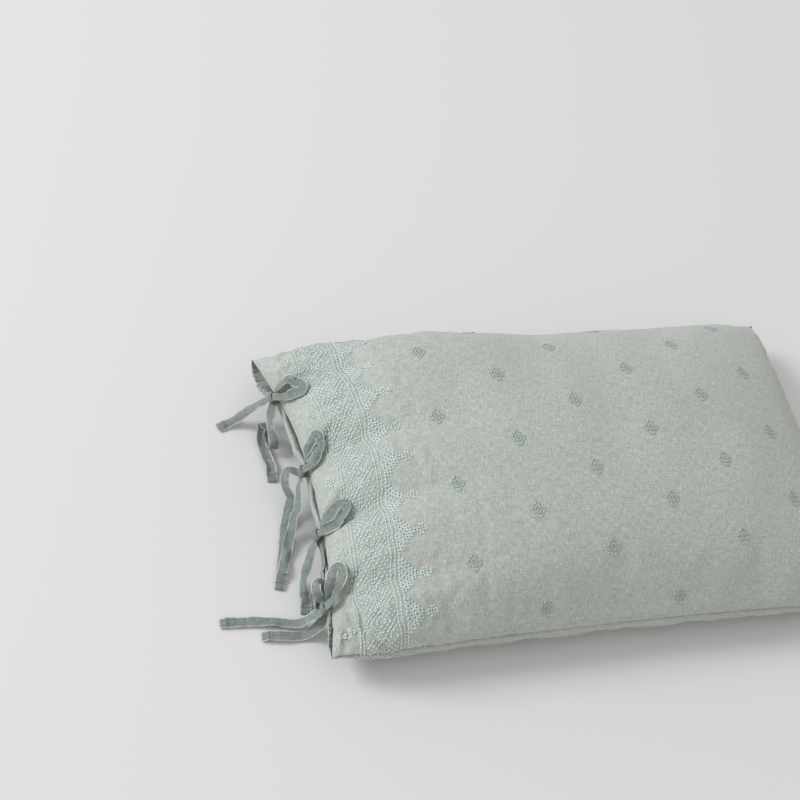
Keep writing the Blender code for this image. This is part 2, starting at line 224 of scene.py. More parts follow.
def closed_x(v):
    return LENGTH / 2 - END_DRAW * (1 - v * v)


def half_width(u):
    tuck = CORNER_TUCK * math.exp(-(((u + 1) / CORNER_TUCK_REACH) ** 2))
    return WIDTH / 2 - SIDE_DRAW * (1 - u * u) - tuck


def plan(u, v):
    """Where a point of the panels lies in plan; u and v run from -1 to 1 across the case."""
    x = mouth_x(v) + (closed_x(v) - mouth_x(v)) * (u + 1) / 2
    return x, v * half_width(u)


def seam_z(u, v):
    return SEAM_HEIGHT - CORNER_SAG * u ** 4 * v ** 4


def near_knots(y, spread):
    """1 beside a bow, falling to 0 between the bows."""
    return sum(math.exp(-(((y - knot) / spread) ** 2)) for knot in KNOT_Y)


def gather_depth(x, y):
    """How deep the gathers press into the front panel at a point in plan."""
    depth = 0.0
    for bow, heading, length, deepest, half in GATHERS:
        knot_y = KNOT_Y[bow]
        reach_x = x - mouth_x(knot_y / (WIDTH / 2))
        reach_y = y - knot_y
        ahead_x, ahead_y = math.cos(math.radians(heading)), math.sin(math.radians(heading))
        along = reach_x * ahead_x + reach_y * ahead_y
        if 0 < along < length:
            across = abs(reach_x * ahead_y - reach_y * ahead_x)
            swell = math.sin(math.pi * (along / length) ** GATHER_SKEW)
            depth += deepest * swell * math.exp(-((across / half) ** 2))
    return depth


def lip_rise(v):
    return (SLIT / 2 + LIP) * (1 - abs(v) ** LIP_END_POWER)


def slit_half(y, v):
    return SLIT / 2 * (1 - SLIT_PINCH * near_knots(y, KNOT_SPREAD / 2)) * (1 - abs(v) ** LIP_END_POWER)


def bulge(u, v, height):
    """How far a panel swells out past its seam at a height over its own edge."""
    share = math.sin(math.pi * min(1.0, max(0.0, height) / BULGE_HEIGHT))
    away = SEAM_BULGE * share * (1 - abs(u * v) ** BULGE_CORNER_POWER)
    return (
        math.copysign(away * abs(u) ** BULGE_POWER, u),
        math.copysign(away * abs(v) ** BULGE_POWER, v),
    )


def crown_rise(u, v):
    rise = (1 - abs(u) ** CROWN_POWER_X) ** CROWN_RISE
    return CROWN * rise * (1 - abs(v) ** CROWN_POWER_Y) ** CROWN_RISE


def untied_point(u, v):
    """The front panel as it would lie with no bows pulling at its mouth."""
    x, y = plan(u, v)
    height = crown_rise(u, v) + lip_rise(v)
    out_x, out_y = bulge(u, v, height - lip_rise(v))
    return Vector((x + out_x, y + out_y, seam_z(u, v) + height))


def front_point(u, v):
    x, y = plan(u, v)
    rise = crown_rise(u, v)
    inward = x - mouth_x(v)
    pull = KNOT_PULL * near_knots(y, KNOT_SPREAD) * math.exp(-inward / KNOT_REACH)
    between = (1 - near_knots(y, KNOT_SPREAD)) * (1 - abs(v) ** PUFF_END_POWER)
    puff = PUFF * between * inward / PUFF_REACH * math.exp(1 - inward / PUFF_REACH)
    height = rise * (1 - pull) + puff + lip_rise(v) * math.exp(-inward / LIP_FADE)
    height -= gather_depth(x, y) * min(1.0, rise / GATHER_FULL_RISE)
    out_x, out_y = bulge(u, v, height - lip_rise(v))
    return Vector((x + out_x, y + out_y, seam_z(u, v) + height))


# Where the lips stand apart: from one share of the width to another, the back lip drops and
# stands out beyond the front one.
PARTINGS = (
    # from_v, to_v, drop, out
    (0.70, 1.00, 0.0075, 0.0085),
    (0.62, 0.21, 0.0012, 0.0060),
    (0.12, -0.20, 0.0010, 0.0046),
    (-0.29, -0.64, 0.0010, 0.0046),
    (-0.73, -1.00, 0.0045, 0.0045),
)
PARTING_FADE = 0.030
LIP_UNEVEN = 0.35
BACK_LIP = 0.55
WIDE_OPEN = 0.011


def wander(*place):
    """Smooth noise between -1 and 1."""
    return noise.noise(Vector(place)) * 2


def parting(v):
    """How far the back lip is shifted from the front one, as a vector."""
    shift = Vector((0, 0, 0))
    for start, end, drop, out in PARTINGS:
        share = (v - start) / (end - start)
        if 0 < share < 1:
            uneven = 1 + LIP_UNEVEN * wander(v * 16, 4, 0)
            shift += Vector((-out, 0, -drop)) * math.sin(math.pi * share) ** 0.8 * uneven
    return shift


def back_point(u, v):
    x, y = plan(u, v)
    rise = (1 - abs(u) ** BELLY_POWER_X) * (1 - abs(v) ** BELLY_POWER_Y)
    drop = seam_z(u, v) * min(1.0, BELLY_FULLNESS * rise ** 0.5)
    inward = x - mouth_x(v)
    drop = max(drop, lip_rise(v) * math.exp(-inward / LIP_FADE))
    out_x, out_y = bulge(u, v, drop - lip_rise(v))
    low = Vector((x + out_x, y + out_y, seam_z(u, v) - drop))
    low += parting(v) * math.exp(-inward / PARTING_FADE)
    return Vector((low.x, low.y, max(0.0, low.z)))


def spaced(share, crowding=0.0):
    """Crowds the mesh's lines towards the seams, and towards the mouth where asked."""
    return math.sin(math.pi / 2 * (share - crowding * (1 - share * share)))


# open is a vertex's share of open sky; where it is low, the linen is painted in shade.
CASE_VALUES = ("along", "across", "facing", "open")


def add_panel(bm, point_at, side):
    """One panel as a grid, placed by each vertex's share of the case; returns its open rim."""
    grid = bmesh.ops.create_grid(
        bm, x_segments=CASE_SEGMENTS_X, y_segments=CASE_SEGMENTS_Y, size=1
    )["verts"]
    along, across, facing, lit = (bm.verts.layers.float[name] for name in CASE_VALUES)
    mouth = set()
    for vert in grid:
        u, v = spaced(vert.co.x, MOUTH_CROWDING), spaced(vert.co.y)
        vert[along], vert[across], vert[facing], vert[lit] = u, v, side, 1.0
        if vert.co.x < -0.999:
            mouth.add(vert)
        vert.co = point_at(u, v)
    return [edge for edge in bm.edges if set(edge.verts) <= mouth]


def fold_in(bm, edges, place, painted_light_share=1.0):
    """Turns a lip's edge inwards by one strip of faces, with each new vertex placed. What lies
    inside the slit is painted in shade, since it gets less of the light, so its share of open sky
    is kept too."""
    along, across, _, lit = (bm.verts.layers.float[name] for name in CASE_VALUES)
    grown = bmesh.ops.extrude_edge_only(bm, edges=edges)["geom"]
    for vert in [item for item in grown if isinstance(item, bmesh.types.BMVert)]:
        vert.co = place(vert[across])
        vert[along] = -1.0
        wide = min(1.0, parting(vert[across]).length / WIDE_OPEN) * (1 - painted_light_share)
        vert[lit] = painted_light_share + wide * 0.65
    return [item for item in grown if isinstance(item, bmesh.types.BMEdge)]


def lip_roll(v, side, angle):
    """A point on the hem's roll: 0 is the outer face of the lip and 180 degrees the inner."""
    x, y = plan(-1, v)
    thick = LIP * (1 - abs(v) ** LIP_END_POWER) * (1 if side > 0 else BACK_LIP)
    middle = slit_half(y, v) + thick / 2
    out, height = math.sin(math.radians(angle)), math.cos(math.radians(angle))
    z = seam_z(-1, v) + side * (middle + height * thick / 2)
    x -= thick / 2 * out * (1 + LIP_UNEVEN * wander(v * 16, side, 9))
    return Vector((x, y, z)) + (parting(v) if side < 0 else Vector())


def slit_floor(v, share=1.0):
    x, y = plan(-1, v)
    return Vector((x + share * SLIT_DEPTH * (1 - abs(v) ** LIP_END_POWER), y, seam_z(-1, v)))


def inner_lip(v, side):
    lip, deep = lip_roll(v, side, 180), slit_floor(v)
    if side > 0:
        return lip.lerp(Vector((deep.x, deep.y, lip.z)), 0.4)
    return lip.lerp(Vector((deep.x, deep.y, lip.z)), 0.2) - Vector((0, 0, parting(v).length * 0.4))


def build_case():
    bm = bmesh.new()
    for name in CASE_VALUES:
        bm.verts.layers.float.new(name)
    for side, point_at in ((1, front_point), (-1, back_point)):
        rim = add_panel(bm, point_at, side)
        for angle in (60, 120, 180):
            rim = fold_in(bm, rim, lambda v, side=side, angle=angle: lip_roll(v, side, angle))
        rim = fold_in(bm, rim, lambda v, side=side: inner_lip(v, side), INSIDE_PAINTED_LIGHT)
        fold_in(bm, rim, slit_floor, INSIDE_PAINTED_LIGHT)
    bmesh.ops.remove_doubles(bm, verts=bm.verts, dist=WELD)
    bmesh.ops.recalc_face_normals(bm, faces=bm.faces)
    if bm.calc_volume(signed=True) < 0:
        bmesh.ops.reverse_faces(bm, faces=bm.faces)
    return bm


# How far each point lies along the cloth, in metres: from the mouth, and from the case's long
# middle line. What is woven or stitched follows these, not the crown's height.
TABLE_STEPS = 96


def cloth_table(point_at):
    """The places of an even grid of shares, and its distances along the cloth both ways."""
    shares = np.array([spaced(k / TABLE_STEPS * 2 - 1) for k in range(TABLE_STEPS + 1)])
    places = np.array([[point_at(u, v)[:] for v in shares] for u in shares])
    down = np.linalg.norm(np.diff(places, axis=0), axis=2).cumsum(axis=0)
    over = np.linalg.norm(np.diff(places, axis=1), axis=2).cumsum(axis=1)
    down = np.vstack([np.zeros((1, TABLE_STEPS + 1)), down])
    over = np.hstack([np.zeros((TABLE_STEPS + 1, 1)), over])
    return shares, down, over - over[:, TABLE_STEPS // 2][:, None]


CLOTH = {1: cloth_table(untied_point), -1: cloth_table(back_point)}


def from_table(table, shares, u, v):
    """Reads a table between its rows and columns; u and v may be arrays."""
    row = np.clip(np.interp(u, shares, np.arange(len(shares))), 0, len(shares) - 1.001)
    column = np.clip(np.interp(v, shares, np.arange(len(shares))), 0, len(shares) - 1.001)
    i, j = row.astype(int), column.astype(int)
    a, b = row - i, column - j
    near = table[i, j] * (1 - b) + table[i, j + 1] * b
    far = table[i + 1, j] * (1 - b) + table[i + 1, j + 1] * b
    return near * (1 - a) + far * a


def vertex_values(mesh, name, kind="value", size=1):
    values = np.empty(len(mesh.vertices) * size, np.float32)
    mesh.attributes[name].data.foreach_get(kind, values)
    return values.reshape(-1, size) if size > 1 else values


# Stonewashed linen: a plain weave of slubby yarns. It is matt, with a faint fuzz that lightens
# it at grazing angles, fine streaks along the warp, and a mottle left by the wash.
LINEN = "C1C5BD"
LINEN_PALE = "CBCFC8"
LINEN_DEEP = "929A91"
# Painted shade, inside the slit and in the seam groove.
SLIT_PAINTED_SHADE = "39403C"
WARP_STREAK = 0.0024
WARP_STREAK_LENGTH = 0.045
YARN = 0.0015
HEM_ROW = 0.0090


def linen_material(name, pale, middle, deep, yarn=YARN, rim=None):
    """Linen with its yarns along the cloth's own two ways. Yarns are drawn at twice their real
    spacing of 0.7 mm, which would be too fine to show. Where rim is given, as the distance from
    a tape's middle to its edge, that edge is paler, partly a painted highlight for light caught on
    the edge and partly wear, and the end's hem has its stitching. Where it is not, the case's
    cloth is painted in shade inside the slit and in the seam groove."""
    material, shader = new_material(name)
    shader.inputs["Roughness"].default_value = 0.88
    shader.inputs["Specular IOR Level"].default_value = 0.25
    shader.inputs["Sheen Weight"].default_value = 0.18
    shader.inputs["Sheen Roughness"].default_value = 0.55
    place = add_node(material, "ShaderNodeAttribute", {"attribute_name": "cloth"}).outputs["Vector"]

    def stretched(across, along, turned=False, detail=2.0, rough=0.5):
        scale = (1 / across, 1 / along, 1) if not turned else (1 / along, 1 / across, 1)
        mapped = add_node(material, "ShaderNodeMapping", {"Scale": scale}, Vector=place)
        return add_node(
            material,
            "ShaderNodeTexNoise",
            {"Scale": 1.0, "Detail": detail, "Roughness": rough},
            Vector=mapped.outputs["Vector"],
        ).outputs["Fac"]

    def mixed(factor, a, b, blend="MIX"):
        node = add_node(material, "ShaderNodeMix", {"data_type": "RGBA", "blend_type": blend})
        for target, value in ((0, factor), (6, a), (7, b)):
            if isinstance(value, bpy.types.NodeSocket):
                material.node_tree.links.new(node.inputs[target], value)
            else:
                node.inputs[target].default_value = value
        return node.outputs[2]

    def ranged(value, low, high, to_low=0.0, to_high=1.0):
        return add_node(
            material,
            "ShaderNodeMapRange",
            {"From Min": low, "From Max": high, "To Min": to_low, "To Max": to_high},
            Value=value,
        ).outputs["Result"]

    mottle = stretched(0.075, 0.11, detail=3.0)
    streak = stretched(WARP_STREAK, WARP_STREAK_LENGTH, detail=3.0, rough=0.6)
    weft_streak = stretched(WARP_STREAK, WARP_STREAK_LENGTH * 0.7, turned=True, detail=2.0)
    warp = stretched(yarn, yarn * 6, detail=1.0)
    weft = stretched(yarn, yarn * 6, turned=True, detail=1.0)
    base = mixed(ranged(mottle, 0.30, 0.70, 0.1, 0.3 if rim else 0.8), linear(middle), linear(pale))
    base = mixed(ranged(streak, 0.45, 0.8, 0.0, 0.35 if rim else 0.6), base, linear(pale))
    base = mixed(ranged(weft_streak, 0.5, 0.8, 0.0, 0.4), base, linear(deep))
    base = mixed(ranged(warp, 0.35, 0.62, 0.5, 0.0), base, linear(deep))
    base = mixed(ranged(weft, 0.35, 0.62, 0.4, 0.0), base, linear(deep))
    parts = add_node(material, "ShaderNodeSeparateXYZ", _0=place).outputs
    # Painted shade: the case's linen darkens inside the slit and in the seam groove, where its share of open
    # sky in z is low.
    if not rim:
        base = mixed(ranged(parts["Z"], 0.50, 0.96, 0.9, 0.0), base, linear(SLIT_PAINTED_SHADE))
    if rim:
        # Painted highlight along both edges of the tape, broken up in patches of wear.
        width = add_node(material, "ShaderNodeMath", {"operation": "ABSOLUTE"}, _0=parts["X"])
        worn_highlight = stretched(0.006, 0.018, detail=2.0)
        edge = add_node(
            material,
            "ShaderNodeMath",
            {"operation": "MULTIPLY"},
            _0=ranged(width.outputs[0], rim * 0.78, rim * 0.88),
            _1=ranged(worn_highlight, 0.30, 0.60, 0.25, 0.95),
        )
        base = mixed(edge.outputs[0], base, linear(pale))
        to_row = add_node(
            material, "ShaderNodeMath", {"operation": "SUBTRACT", 1: HEM_ROW}, _0=parts["Z"]
        )
        row = add_node(material, "ShaderNodeMath", {"operation": "ABSOLUTE"}, _0=to_row.outputs[0])
        base = mixed(ranged(row.outputs[0], 0.0003, 0.0011, 0.9, 0.0), base, linear(deep))
    material.node_tree.links.new(shader.inputs["Base Color"], base)
    yarns = add_node(
        material, "ShaderNodeMath", {"operation": "ADD"}, _0=warp, _1=weft
    ).outputs["Value"]
    slubs = add_node(
        material, "ShaderNodeMath", {"operation": "MULTIPLY_ADD", 1: 0.8}, _0=streak, _2=yarns
    ).outputs["Value"]
    bump = add_node(
        material, "ShaderNodeBump", {"Strength": 0.6, "Distance": 0.0010}, Height=slubs
    )
    material.node_tree.links.new(shader.inputs["Normal"], bump.outputs["Normal"])
    return material


linen = linen_material("stonewashed_linen", LINEN_PALE, LINEN, LINEN_DEEP)
case = add_piece("case_cloth", build_case(), linen)

# The filling strains the cloth: it is let out a little and blown up from inside, held at its
# seams, hems and bows and where it rests, and no point moves further than the cap.
FILL_PRESSURE = 4.0
FILL_EASE = -0.022
FILL_FRAMES = 20
FILL_CAP = 0.0040
HELD_AT_MOUTH = 0.010
HELD_AT_SEAM = 0.004
HELD_AT_FLOOR = 0.004
HELD_AT_BOW = 0.022
BOW_CAP_REACH = 0.075


def edge_distances(mesh):
    """Each vertex's distances along the cloth from the mouth, the middle line and the nearest
    seam."""
    u = np.clip(vertex_values(mesh, "along"), -1, 1)
    v = np.clip(vertex_values(mesh, "across"), -1, 1)
    facing = vertex_values(mesh, "facing")
    down, over, to_seam = (np.zeros(len(u)) for _ in range(3))
    for side in (1, -1):
        chosen = (facing > 0) if side > 0 else (facing <= 0)
        shares, down_table, over_table = CLOTH[side]
        here_u, here_v = u[chosen], v[chosen]
        down[chosen] = from_table(down_table, shares, here_u, here_v)
        over[chosen] = from_table(over_table, shares, here_u, here_v)
        ends = np.ones(len(here_u))
        to_side = from_table(over_table, shares, here_u, np.sign(here_v + 1e-9)) - over[chosen]
        to_end = from_table(down_table, shares, ends, here_v) - down[chosen]
        to_seam[chosen] = np.minimum(abs(to_side), abs(to_end))
    return down, over, to_seam, facing


def mesh_points(mesh):
    points = np.empty(len(mesh.vertices) * 3, np.float32)
    mesh.vertices.foreach_get("co", points)
    return points.reshape(-1, 3)


def from_bows(points):
    """Each point's distance in plan from the nearest bow."""
    knots = [Vector((mouth_x(y / (WIDTH / 2)), y)) for y in KNOT_Y]
    spans = [np.hypot(points[:, 0] - knot.x, points[:, 1] - knot.y) for knot in knots]
    return np.min(spans, axis=0)


def fill_out(piece):
    start = mesh_points(piece.data)
    down, _, to_seam, facing = edge_distances(piece.data)
    held = (down < HELD_AT_MOUTH) | (to_seam < HELD_AT_SEAM) | (from_bows(start) < HELD_AT_BOW)
    held |= start[:, 2] < HELD_AT_FLOOR
    group = piece.vertex_groups.new(name="held")
    group.add([int(i) for i in np.flatnonzero(held)], 1.0, "REPLACE")
    cloth = piece.modifiers.new("fill", "CLOTH")
    settings = cloth.settings
    settings.quality = 6
    settings.mass = 0.25
    settings.tension_stiffness = settings.compression_stiffness = 18
    settings.shear_stiffness = 6
    settings.bending_stiffness = 0.4
    settings.use_pressure = True
    settings.uniform_pressure_force = FILL_PRESSURE
    settings.shrink_min = FILL_EASE
    settings.vertex_group_mass = "held"
    settings.effector_weights.gravity = 0
    cloth.point_cache.frame_start, cloth.point_cache.frame_end = 1, FILL_FRAMES
    for step in range(1, FILL_FRAMES + 1):
        bpy.context.scene.frame_set(step)
    evaluated = piece.evaluated_get(bpy.context.evaluated_depsgraph_get())
    moved = mesh_points(evaluated.data) - start
    piece.modifiers.clear()
    piece.vertex_groups.clear()
    bpy.context.scene.frame_set(1)
    cap = FILL_CAP * np.clip(from_bows(start) / BOW_CAP_REACH, 0.1, 1) * np.clip(to_seam / 0.03, 0.15, 1)
    length = np.linalg.norm(moved, axis=1)
    moved *= (cap * np.tanh(length / cap) / np.maximum(length, 1e-9))[:, None]
    finished = start + moved
    finished[:, 2] = np.maximum(finished[:, 2], 0)
    piece.data.vertices.foreach_set("co", finished.ravel())
    piece.data.update()


fill_out(case)
smooth = case.modifiers.new("smooth", "SUBSURF")
smooth.levels = smooth.render_levels = 1


def apply_modifiers(piece):
    """Replaces a piece's mesh with the one that its modifiers give."""
    evaluated = piece.evaluated_get(bpy.context.evaluated_depsgraph_get())
    finished = bpy.data.meshes.new_from_object(evaluated)
    piece.modifiers.clear()
    piece.data = finished


apply_modifiers(case)

# Small folds that the cloth takes: the groove of a seam and the puckers beside it, the creases
# that run out of the hem and lie beside the band, and soft unevenness all over.
SEAM_GROOVE = 0.0042
SEAM_GROOVE_HALF = 0.0022
SEAM_STARTS = 0.012
SEAM_SHADE = 0.42
SEAM_SHADE_HALF = 0.0012
SEAM_PUCKER = 0.0008
SEAM_PUCKER_LENGTH = 0.017
SEAM_PUCKER_REACH = 0.022
BESIDE_BAND = 0.225
BESIDE_BAND_REACH = 0.050
BESIDE_BAND_CREASE = 0.0022
BAND_PUCKER = 0.0011
BAND_PUCKER_SIZE = 0.013
UNEVEN = 0.0020
UNEVEN_SIZE = 0.085
# Where the filling has shifted, the front panel is fuller, from just past the band on.
FULLER = (
    # x, y, reach_x, reach_y, rise
    (-0.175, 0.165, 0.130, 0.070, 0.0170),
    (0.170, 0.150, 0.110, 0.080, -0.0045),
    (-0.090, -0.120, 0.100, 0.080, 0.0030),
)
FULLER_FROM = 0.125
# The back lip is ruched where it stands open at the far corner.
RUCHE = 0.0018
RUCHE_LENGTH = 0.0075
RUCHED_FROM = 0.165
CREASES = (
    # x, y, heading, length, depth, half_width
    (-0.3640, -0.182, -78, 0.054, 0.0060, 0.0036),
    (-0.3480, -0.190, -86, 0.050, 0.0050, 0.0040),
    (-0.3780, -0.200, -64, 0.038, 0.0050, 0.0034),
    (-0.3700, -0.205, -88, 0.036, 0.0040, 0.0030),
    (-0.3600, 0.105, 4, 0.070, 0.0022, 0.0050),
    (-0.3650, 0.002, 12, 0.060, 0.0022, 0.0050),
    (-0.3620, -0.118, -6, 0.065, 0.0024, 0.0050),
    (-0.3760, 0.205, 40, 0.030, 0.0026, 0.0045),
    (-0.3660, 0.0440, 40, 0.060, 0.0050, 0.0042),
    (-0.3790, -0.1680, 27, 0.058, 0.0050, 0.0042),
    (-0.3640, -0.0560, 44, 0.050, 0.0036, 0.0040),
    (-0.3780, 0.1640, 30, 0.032, 0.0036, 0.0040),
)


def crease_depth(x, y):
    depth = 0.0
    for start_x, start_y, heading, length, deepest, half in CREASES:
        ahead_x, ahead_y = math.cos(math.radians(heading)), math.sin(math.radians(heading))
        reach_x, reach_y = x - start_x, y - start_y
        along = (reach_x * ahead_x + reach_y * ahead_y) / length
        if 0 < along < 1:
            across = reach_x * ahead_y - reach_y * ahead_x + 0.25 * half * math.sin(9 * along)
            depth += deepest * math.sin(math.pi * along) * math.exp(-((across / half) ** 2))
    return depth


def small_folds(place, down, over, to_seam, facing):
    """How far a point stands out from the smooth case."""
    x, y, z = place
    near_seam = math.exp(-to_seam / SEAM_PUCKER_REACH)
    groove = SEAM_GROOVE * (1 + 0.15 * wander(x * 40, y * 40, 3)) * min(1.0, down / SEAM_STARTS)
    out = -groove * math.exp(-((to_seam / SEAM_GROOVE_HALF) ** 2))
    run = (down + over * 0.7) / SEAM_PUCKER_LENGTH
    out += SEAM_PUCKER * near_seam * (1 - math.exp(-to_seam / 0.010)) * wander(run, facing * 5, to_seam * 30)
    if facing < 0:
        if abs(over) > RUCHED_FROM and down < 0.012:
            open_here = math.sin(math.pi * min(1.0, (abs(over) - RUCHED_FROM) / 0.08)) ** 0.5
            out += RUCHE * open_here * math.sin(math.tau * over / RUCHE_LENGTH)
        return out * min(1.0, z / 0.01)
    beside = math.exp(-(((down - BESIDE_BAND) / BESIDE_BAND_REACH) ** 2))
    calm = min(1.0, down / 0.02)
    out -= BESIDE_BAND_CREASE * beside * max(0.0, wander(x / 0.021, y / 0.16, 7) - 0.1)
    in_band = 1 / (1 + math.exp((down - 0.185) / 0.006)) * calm
    out += BAND_PUCKER * in_band * wander(x / BAND_PUCKER_SIZE, y / BAND_PUCKER_SIZE, 2)
    out += UNEVEN * calm * wander(x / UNEVEN_SIZE, y / (UNEVEN_SIZE * 1.6), 11) * min(1.0, to_seam / 0.03)
    past_band = min(1.0, max(0.0, (down - FULLER_FROM) / 0.03))
    for at_x, at_y, reach_x, reach_y, rise in FULLER:
        spread = ((x - at_x) / reach_x) ** 2 + ((y - at_y) / reach_y) ** 2
        out += rise * math.exp(-spread) * past_band * past_band * (3 - 2 * past_band)
    return out - crease_depth(x, y)


def fold_cloth(mesh):
    points = mesh_points(mesh)
    normals = np.empty(len(points) * 3, np.float32)
    mesh.vertices.foreach_get("normal", normals)
    rows = zip(points.tolist(), *(list(map(float, column)) for column in edge_distances(mesh)))
    outs = np.array([small_folds(*row) for row in rows])
    points += normals.reshape(-1, 3) * outs[:, None]
    points[:, 2] = np.maximum(points[:, 2], 0)
    mesh.vertices.foreach_set("co", points.ravel().astype(np.float32))
    mesh.update()


fold_cloth(case.data)


def lay_cloth_grid(mesh):
    """Gives every vertex its place on the flat cloth, for the weave and the stitching. Its z holds
    the share of painted light: open sky, less a painted shade in the seam groove.
    """
    u = np.clip(vertex_values(mesh, "along"), -1, 1)
    v = np.clip(vertex_values(mesh, "across"), -1, 1)
    side = vertex_values(mesh, "facing") > 0
    flat = np.zeros((len(u), 3), np.float32)
    _, _, to_seam, _ = edge_distances(mesh)
    # Painted shade along the seam groove, taken from the share of open sky.
    in_groove = np.exp(-((to_seam / SEAM_SHADE_HALF) ** 2))
    flat[:, 2] = vertex_values(mesh, "open") - SEAM_SHADE * in_groove
    for facing, chosen in ((1, side), (-1, ~side)):
        shares, down, over = CLOTH[facing]
        flat[chosen, 0] = from_table(down, shares, u[chosen], v[chosen])
        flat[chosen, 1] = from_table(over, shares, u[chosen], v[chosen])
    cloth = mesh.attributes.new("cloth", "FLOAT_VECTOR", "POINT")
    cloth.data.foreach_set("vector", flat.ravel())


lay_cloth_grid(case.data)
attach(case, "root")
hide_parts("case")

# --------------------------------------------------------------------------------------------
# The embroidery: thread worked through the linen in short straight stitches, each a small
# raised lens. It follows the cloth, so each stitch is seated on the finished case.

case_bm = bmesh.new()
case_bm.from_mesh(case.data)
case_tree = BVHTree.FromBMesh(case_bm)
case_bm.free()
POINT_AT = {1: front_point, -1: back_point}


def cloth_share(side, down, over):
    """The shares u, v of the point that lies so far along the cloth from the mouth and from
    the middle line."""
    shares, down_table, over_table = CLOTH[side]
    u = v = 0.0
    for _ in range(4):
        row = np.interp(u, shares, np.arange(len(shares)))
        v = float(np.interp(over, over_table[round(row)], shares))
        column = np.interp(v, shares, np.arange(len(shares)))
        u = float(np.interp(down, down_table[:, round(column)], shares))
    return u, v


def on_cloth(side, down, over):
    """The nearest point of the finished case, and its outward normal."""
    place, normal, _, _ = case_tree.find_nearest(POINT_AT[side](*cloth_share(side, down, over)))
    return place, normal


def stitch_shape():
    """One stitch of unit size: half a lens, flat side down, whose long way is X. Its shoulders
    are full, as a bundle of strands is."""
    bm = bmesh.new()
    bmesh.ops.create_icosphere(bm, subdivisions=2, radius=0.5)
    cut = bm.verts[:] + bm.edges[:] + bm.faces[:]
    bmesh.ops.bisect_plane(bm, geom=cut, plane_co=(0, 0, 0), plane_no=(0, 0, 1), clear_inner=True)
    bmesh.ops.remove_doubles(bm, verts=bm.verts, dist=0.02)
    bmesh.ops.triangulate(bm, faces=bm.faces)
    for vert in bm.verts:
        vert.co.y *= 1 + 0.35 * (2 * abs(vert.co.x)) ** 2
        vert.co.z *= 2
    bm.verts.index_update()
    corners = np.array([vert.co[:] for vert in bm.verts])
    faces = np.array([[vert.index for vert in face.verts] for face in bm.faces])
    bm.free()
    return corners, faces


STITCH_CORNERS, STITCH_FACES = stitch_shape()


def sew(name, stitches, material):
    """Joins all stitches of one kind as a mesh. Each is (start, end, normal, width, height)."""
    count = len(stitches)
    starts, ends, normals = (np.array([s[k][:] for s in stitches]) for k in range(3))
    widths, heights = (np.array([s[k] for s in stitches]) for k in (3, 4))
    reach = ends - starts
    lengths = np.linalg.norm(reach, axis=1)
    ways = reach / lengths[:, None]
    sides = np.cross(normals, ways)
    sides /= np.linalg.norm(sides, axis=1)[:, None]
    tops = np.cross(ways, sides)
    sized = np.stack([
        np.outer(lengths, STITCH_CORNERS[:, 0]),
        np.outer(widths, STITCH_CORNERS[:, 1]),
        np.outer(heights, STITCH_CORNERS[:, 2]),
    ], axis=2)
    corners = (starts + ends)[:, None] / 2 + np.einsum(
        "nck,nkd->ncd", sized, np.stack([ways, sides, tops], axis=1)
    )
    step = len(STITCH_CORNERS)
    faces = (STITCH_FACES[None] + np.arange(count)[:, None, None] * step).reshape(-1, 3)
    mesh = bpy.data.meshes.new(name)
    mesh.from_pydata(corners.reshape(-1, 3).tolist(), [], faces.tolist())
    lay = mesh.attributes.new("lay", "FLOAT_VECTOR", "POINT")
    lay.data.foreach_set("vector", sized.reshape(-1).astype(np.float32))
    mesh.shade_smooth()
    mesh.materials.append(material)
    piece = bpy.data.objects.new(name, mesh)
    bpy.context.scene.collection.objects.link(piece)
    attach(piece, "root")
    return piece


# Stranded cotton thread: a soft lustre, a fine ribbing where the strands lie side by side, and
# a painted shade low down, where a stitch dips through the cloth between its neighbours.
THREAD = "D4DFDA"
THREAD_SHADE = "BECBC5"
# The root colour is painted shade, where a stitch meets the cloth.
THREAD_ROOT_PAINTED_SHADE = "4E5E57"
DIAMOND_THREAD = "B8C4BE"
DIAMOND_SHADE = "A1AFA8"
ROOT_TO = 0.00085
STRAND = 0.0007


def cotton_thread(name, pale, shade):
    thread, shader = new_material(name)
    shader.inputs["Roughness"].default_value = 0.62
    shader.inputs["Sheen Weight"].default_value = 0.25
    shader.inputs["Sheen Roughness"].default_value = 0.4
    lay_of = add_node(thread, "ShaderNodeAttribute", {"attribute_name": "lay"}).outputs["Vector"]
    slant = add_node(thread, "ShaderNodeMapping", {"Rotation": (0, 0, 0.9)}, Vector=lay_of)
    ribs = add_node(
        thread,
        "ShaderNodeTexWave",
        {"Scale": 1 / STRAND / math.tau, "Distortion": 0.6},
        Vector=slant.outputs["Vector"],
    )
    where = add_node(thread, "ShaderNodeTexCoord").outputs["Object"]
    patch = add_node(thread, "ShaderNodeTexNoise", {"Scale": 90.0, "Detail": 2.0}, Vector=where)
    dye = add_node(
        thread,
        "ShaderNodeMix",
        {"data_type": "RGBA", 6: linear(shade), 7: linear(pale)},
        _0=patch.outputs["Fac"],
    )
    # Painted shade: the thread darkens near the cloth, where its neighbours and the linen would shade it.
    height_of = add_node(thread, "ShaderNodeSeparateXYZ", _0=lay_of).outputs["Z"]
    lifted = add_node(thread, "ShaderNodeMapRange", {"From Max": ROOT_TO}, Value=height_of)
    depth = add_node(
        thread,
        "ShaderNodeMix",
        {"data_type": "RGBA", 6: linear(THREAD_ROOT_PAINTED_SHADE)},
        _0=lifted.outputs["Result"],
        _7=dye.outputs[2],
    )
    thread.node_tree.links.new(shader.inputs["Base Color"], depth.outputs[2])
    rib_bump = add_node(
        thread, "ShaderNodeBump", {"Strength": 0.4, "Distance": 0.0003}, Height=ribs.outputs["Fac"]
    )
    thread.node_tree.links.new(shader.inputs["Normal"], rib_bump.outputs["Normal"])
    return thread


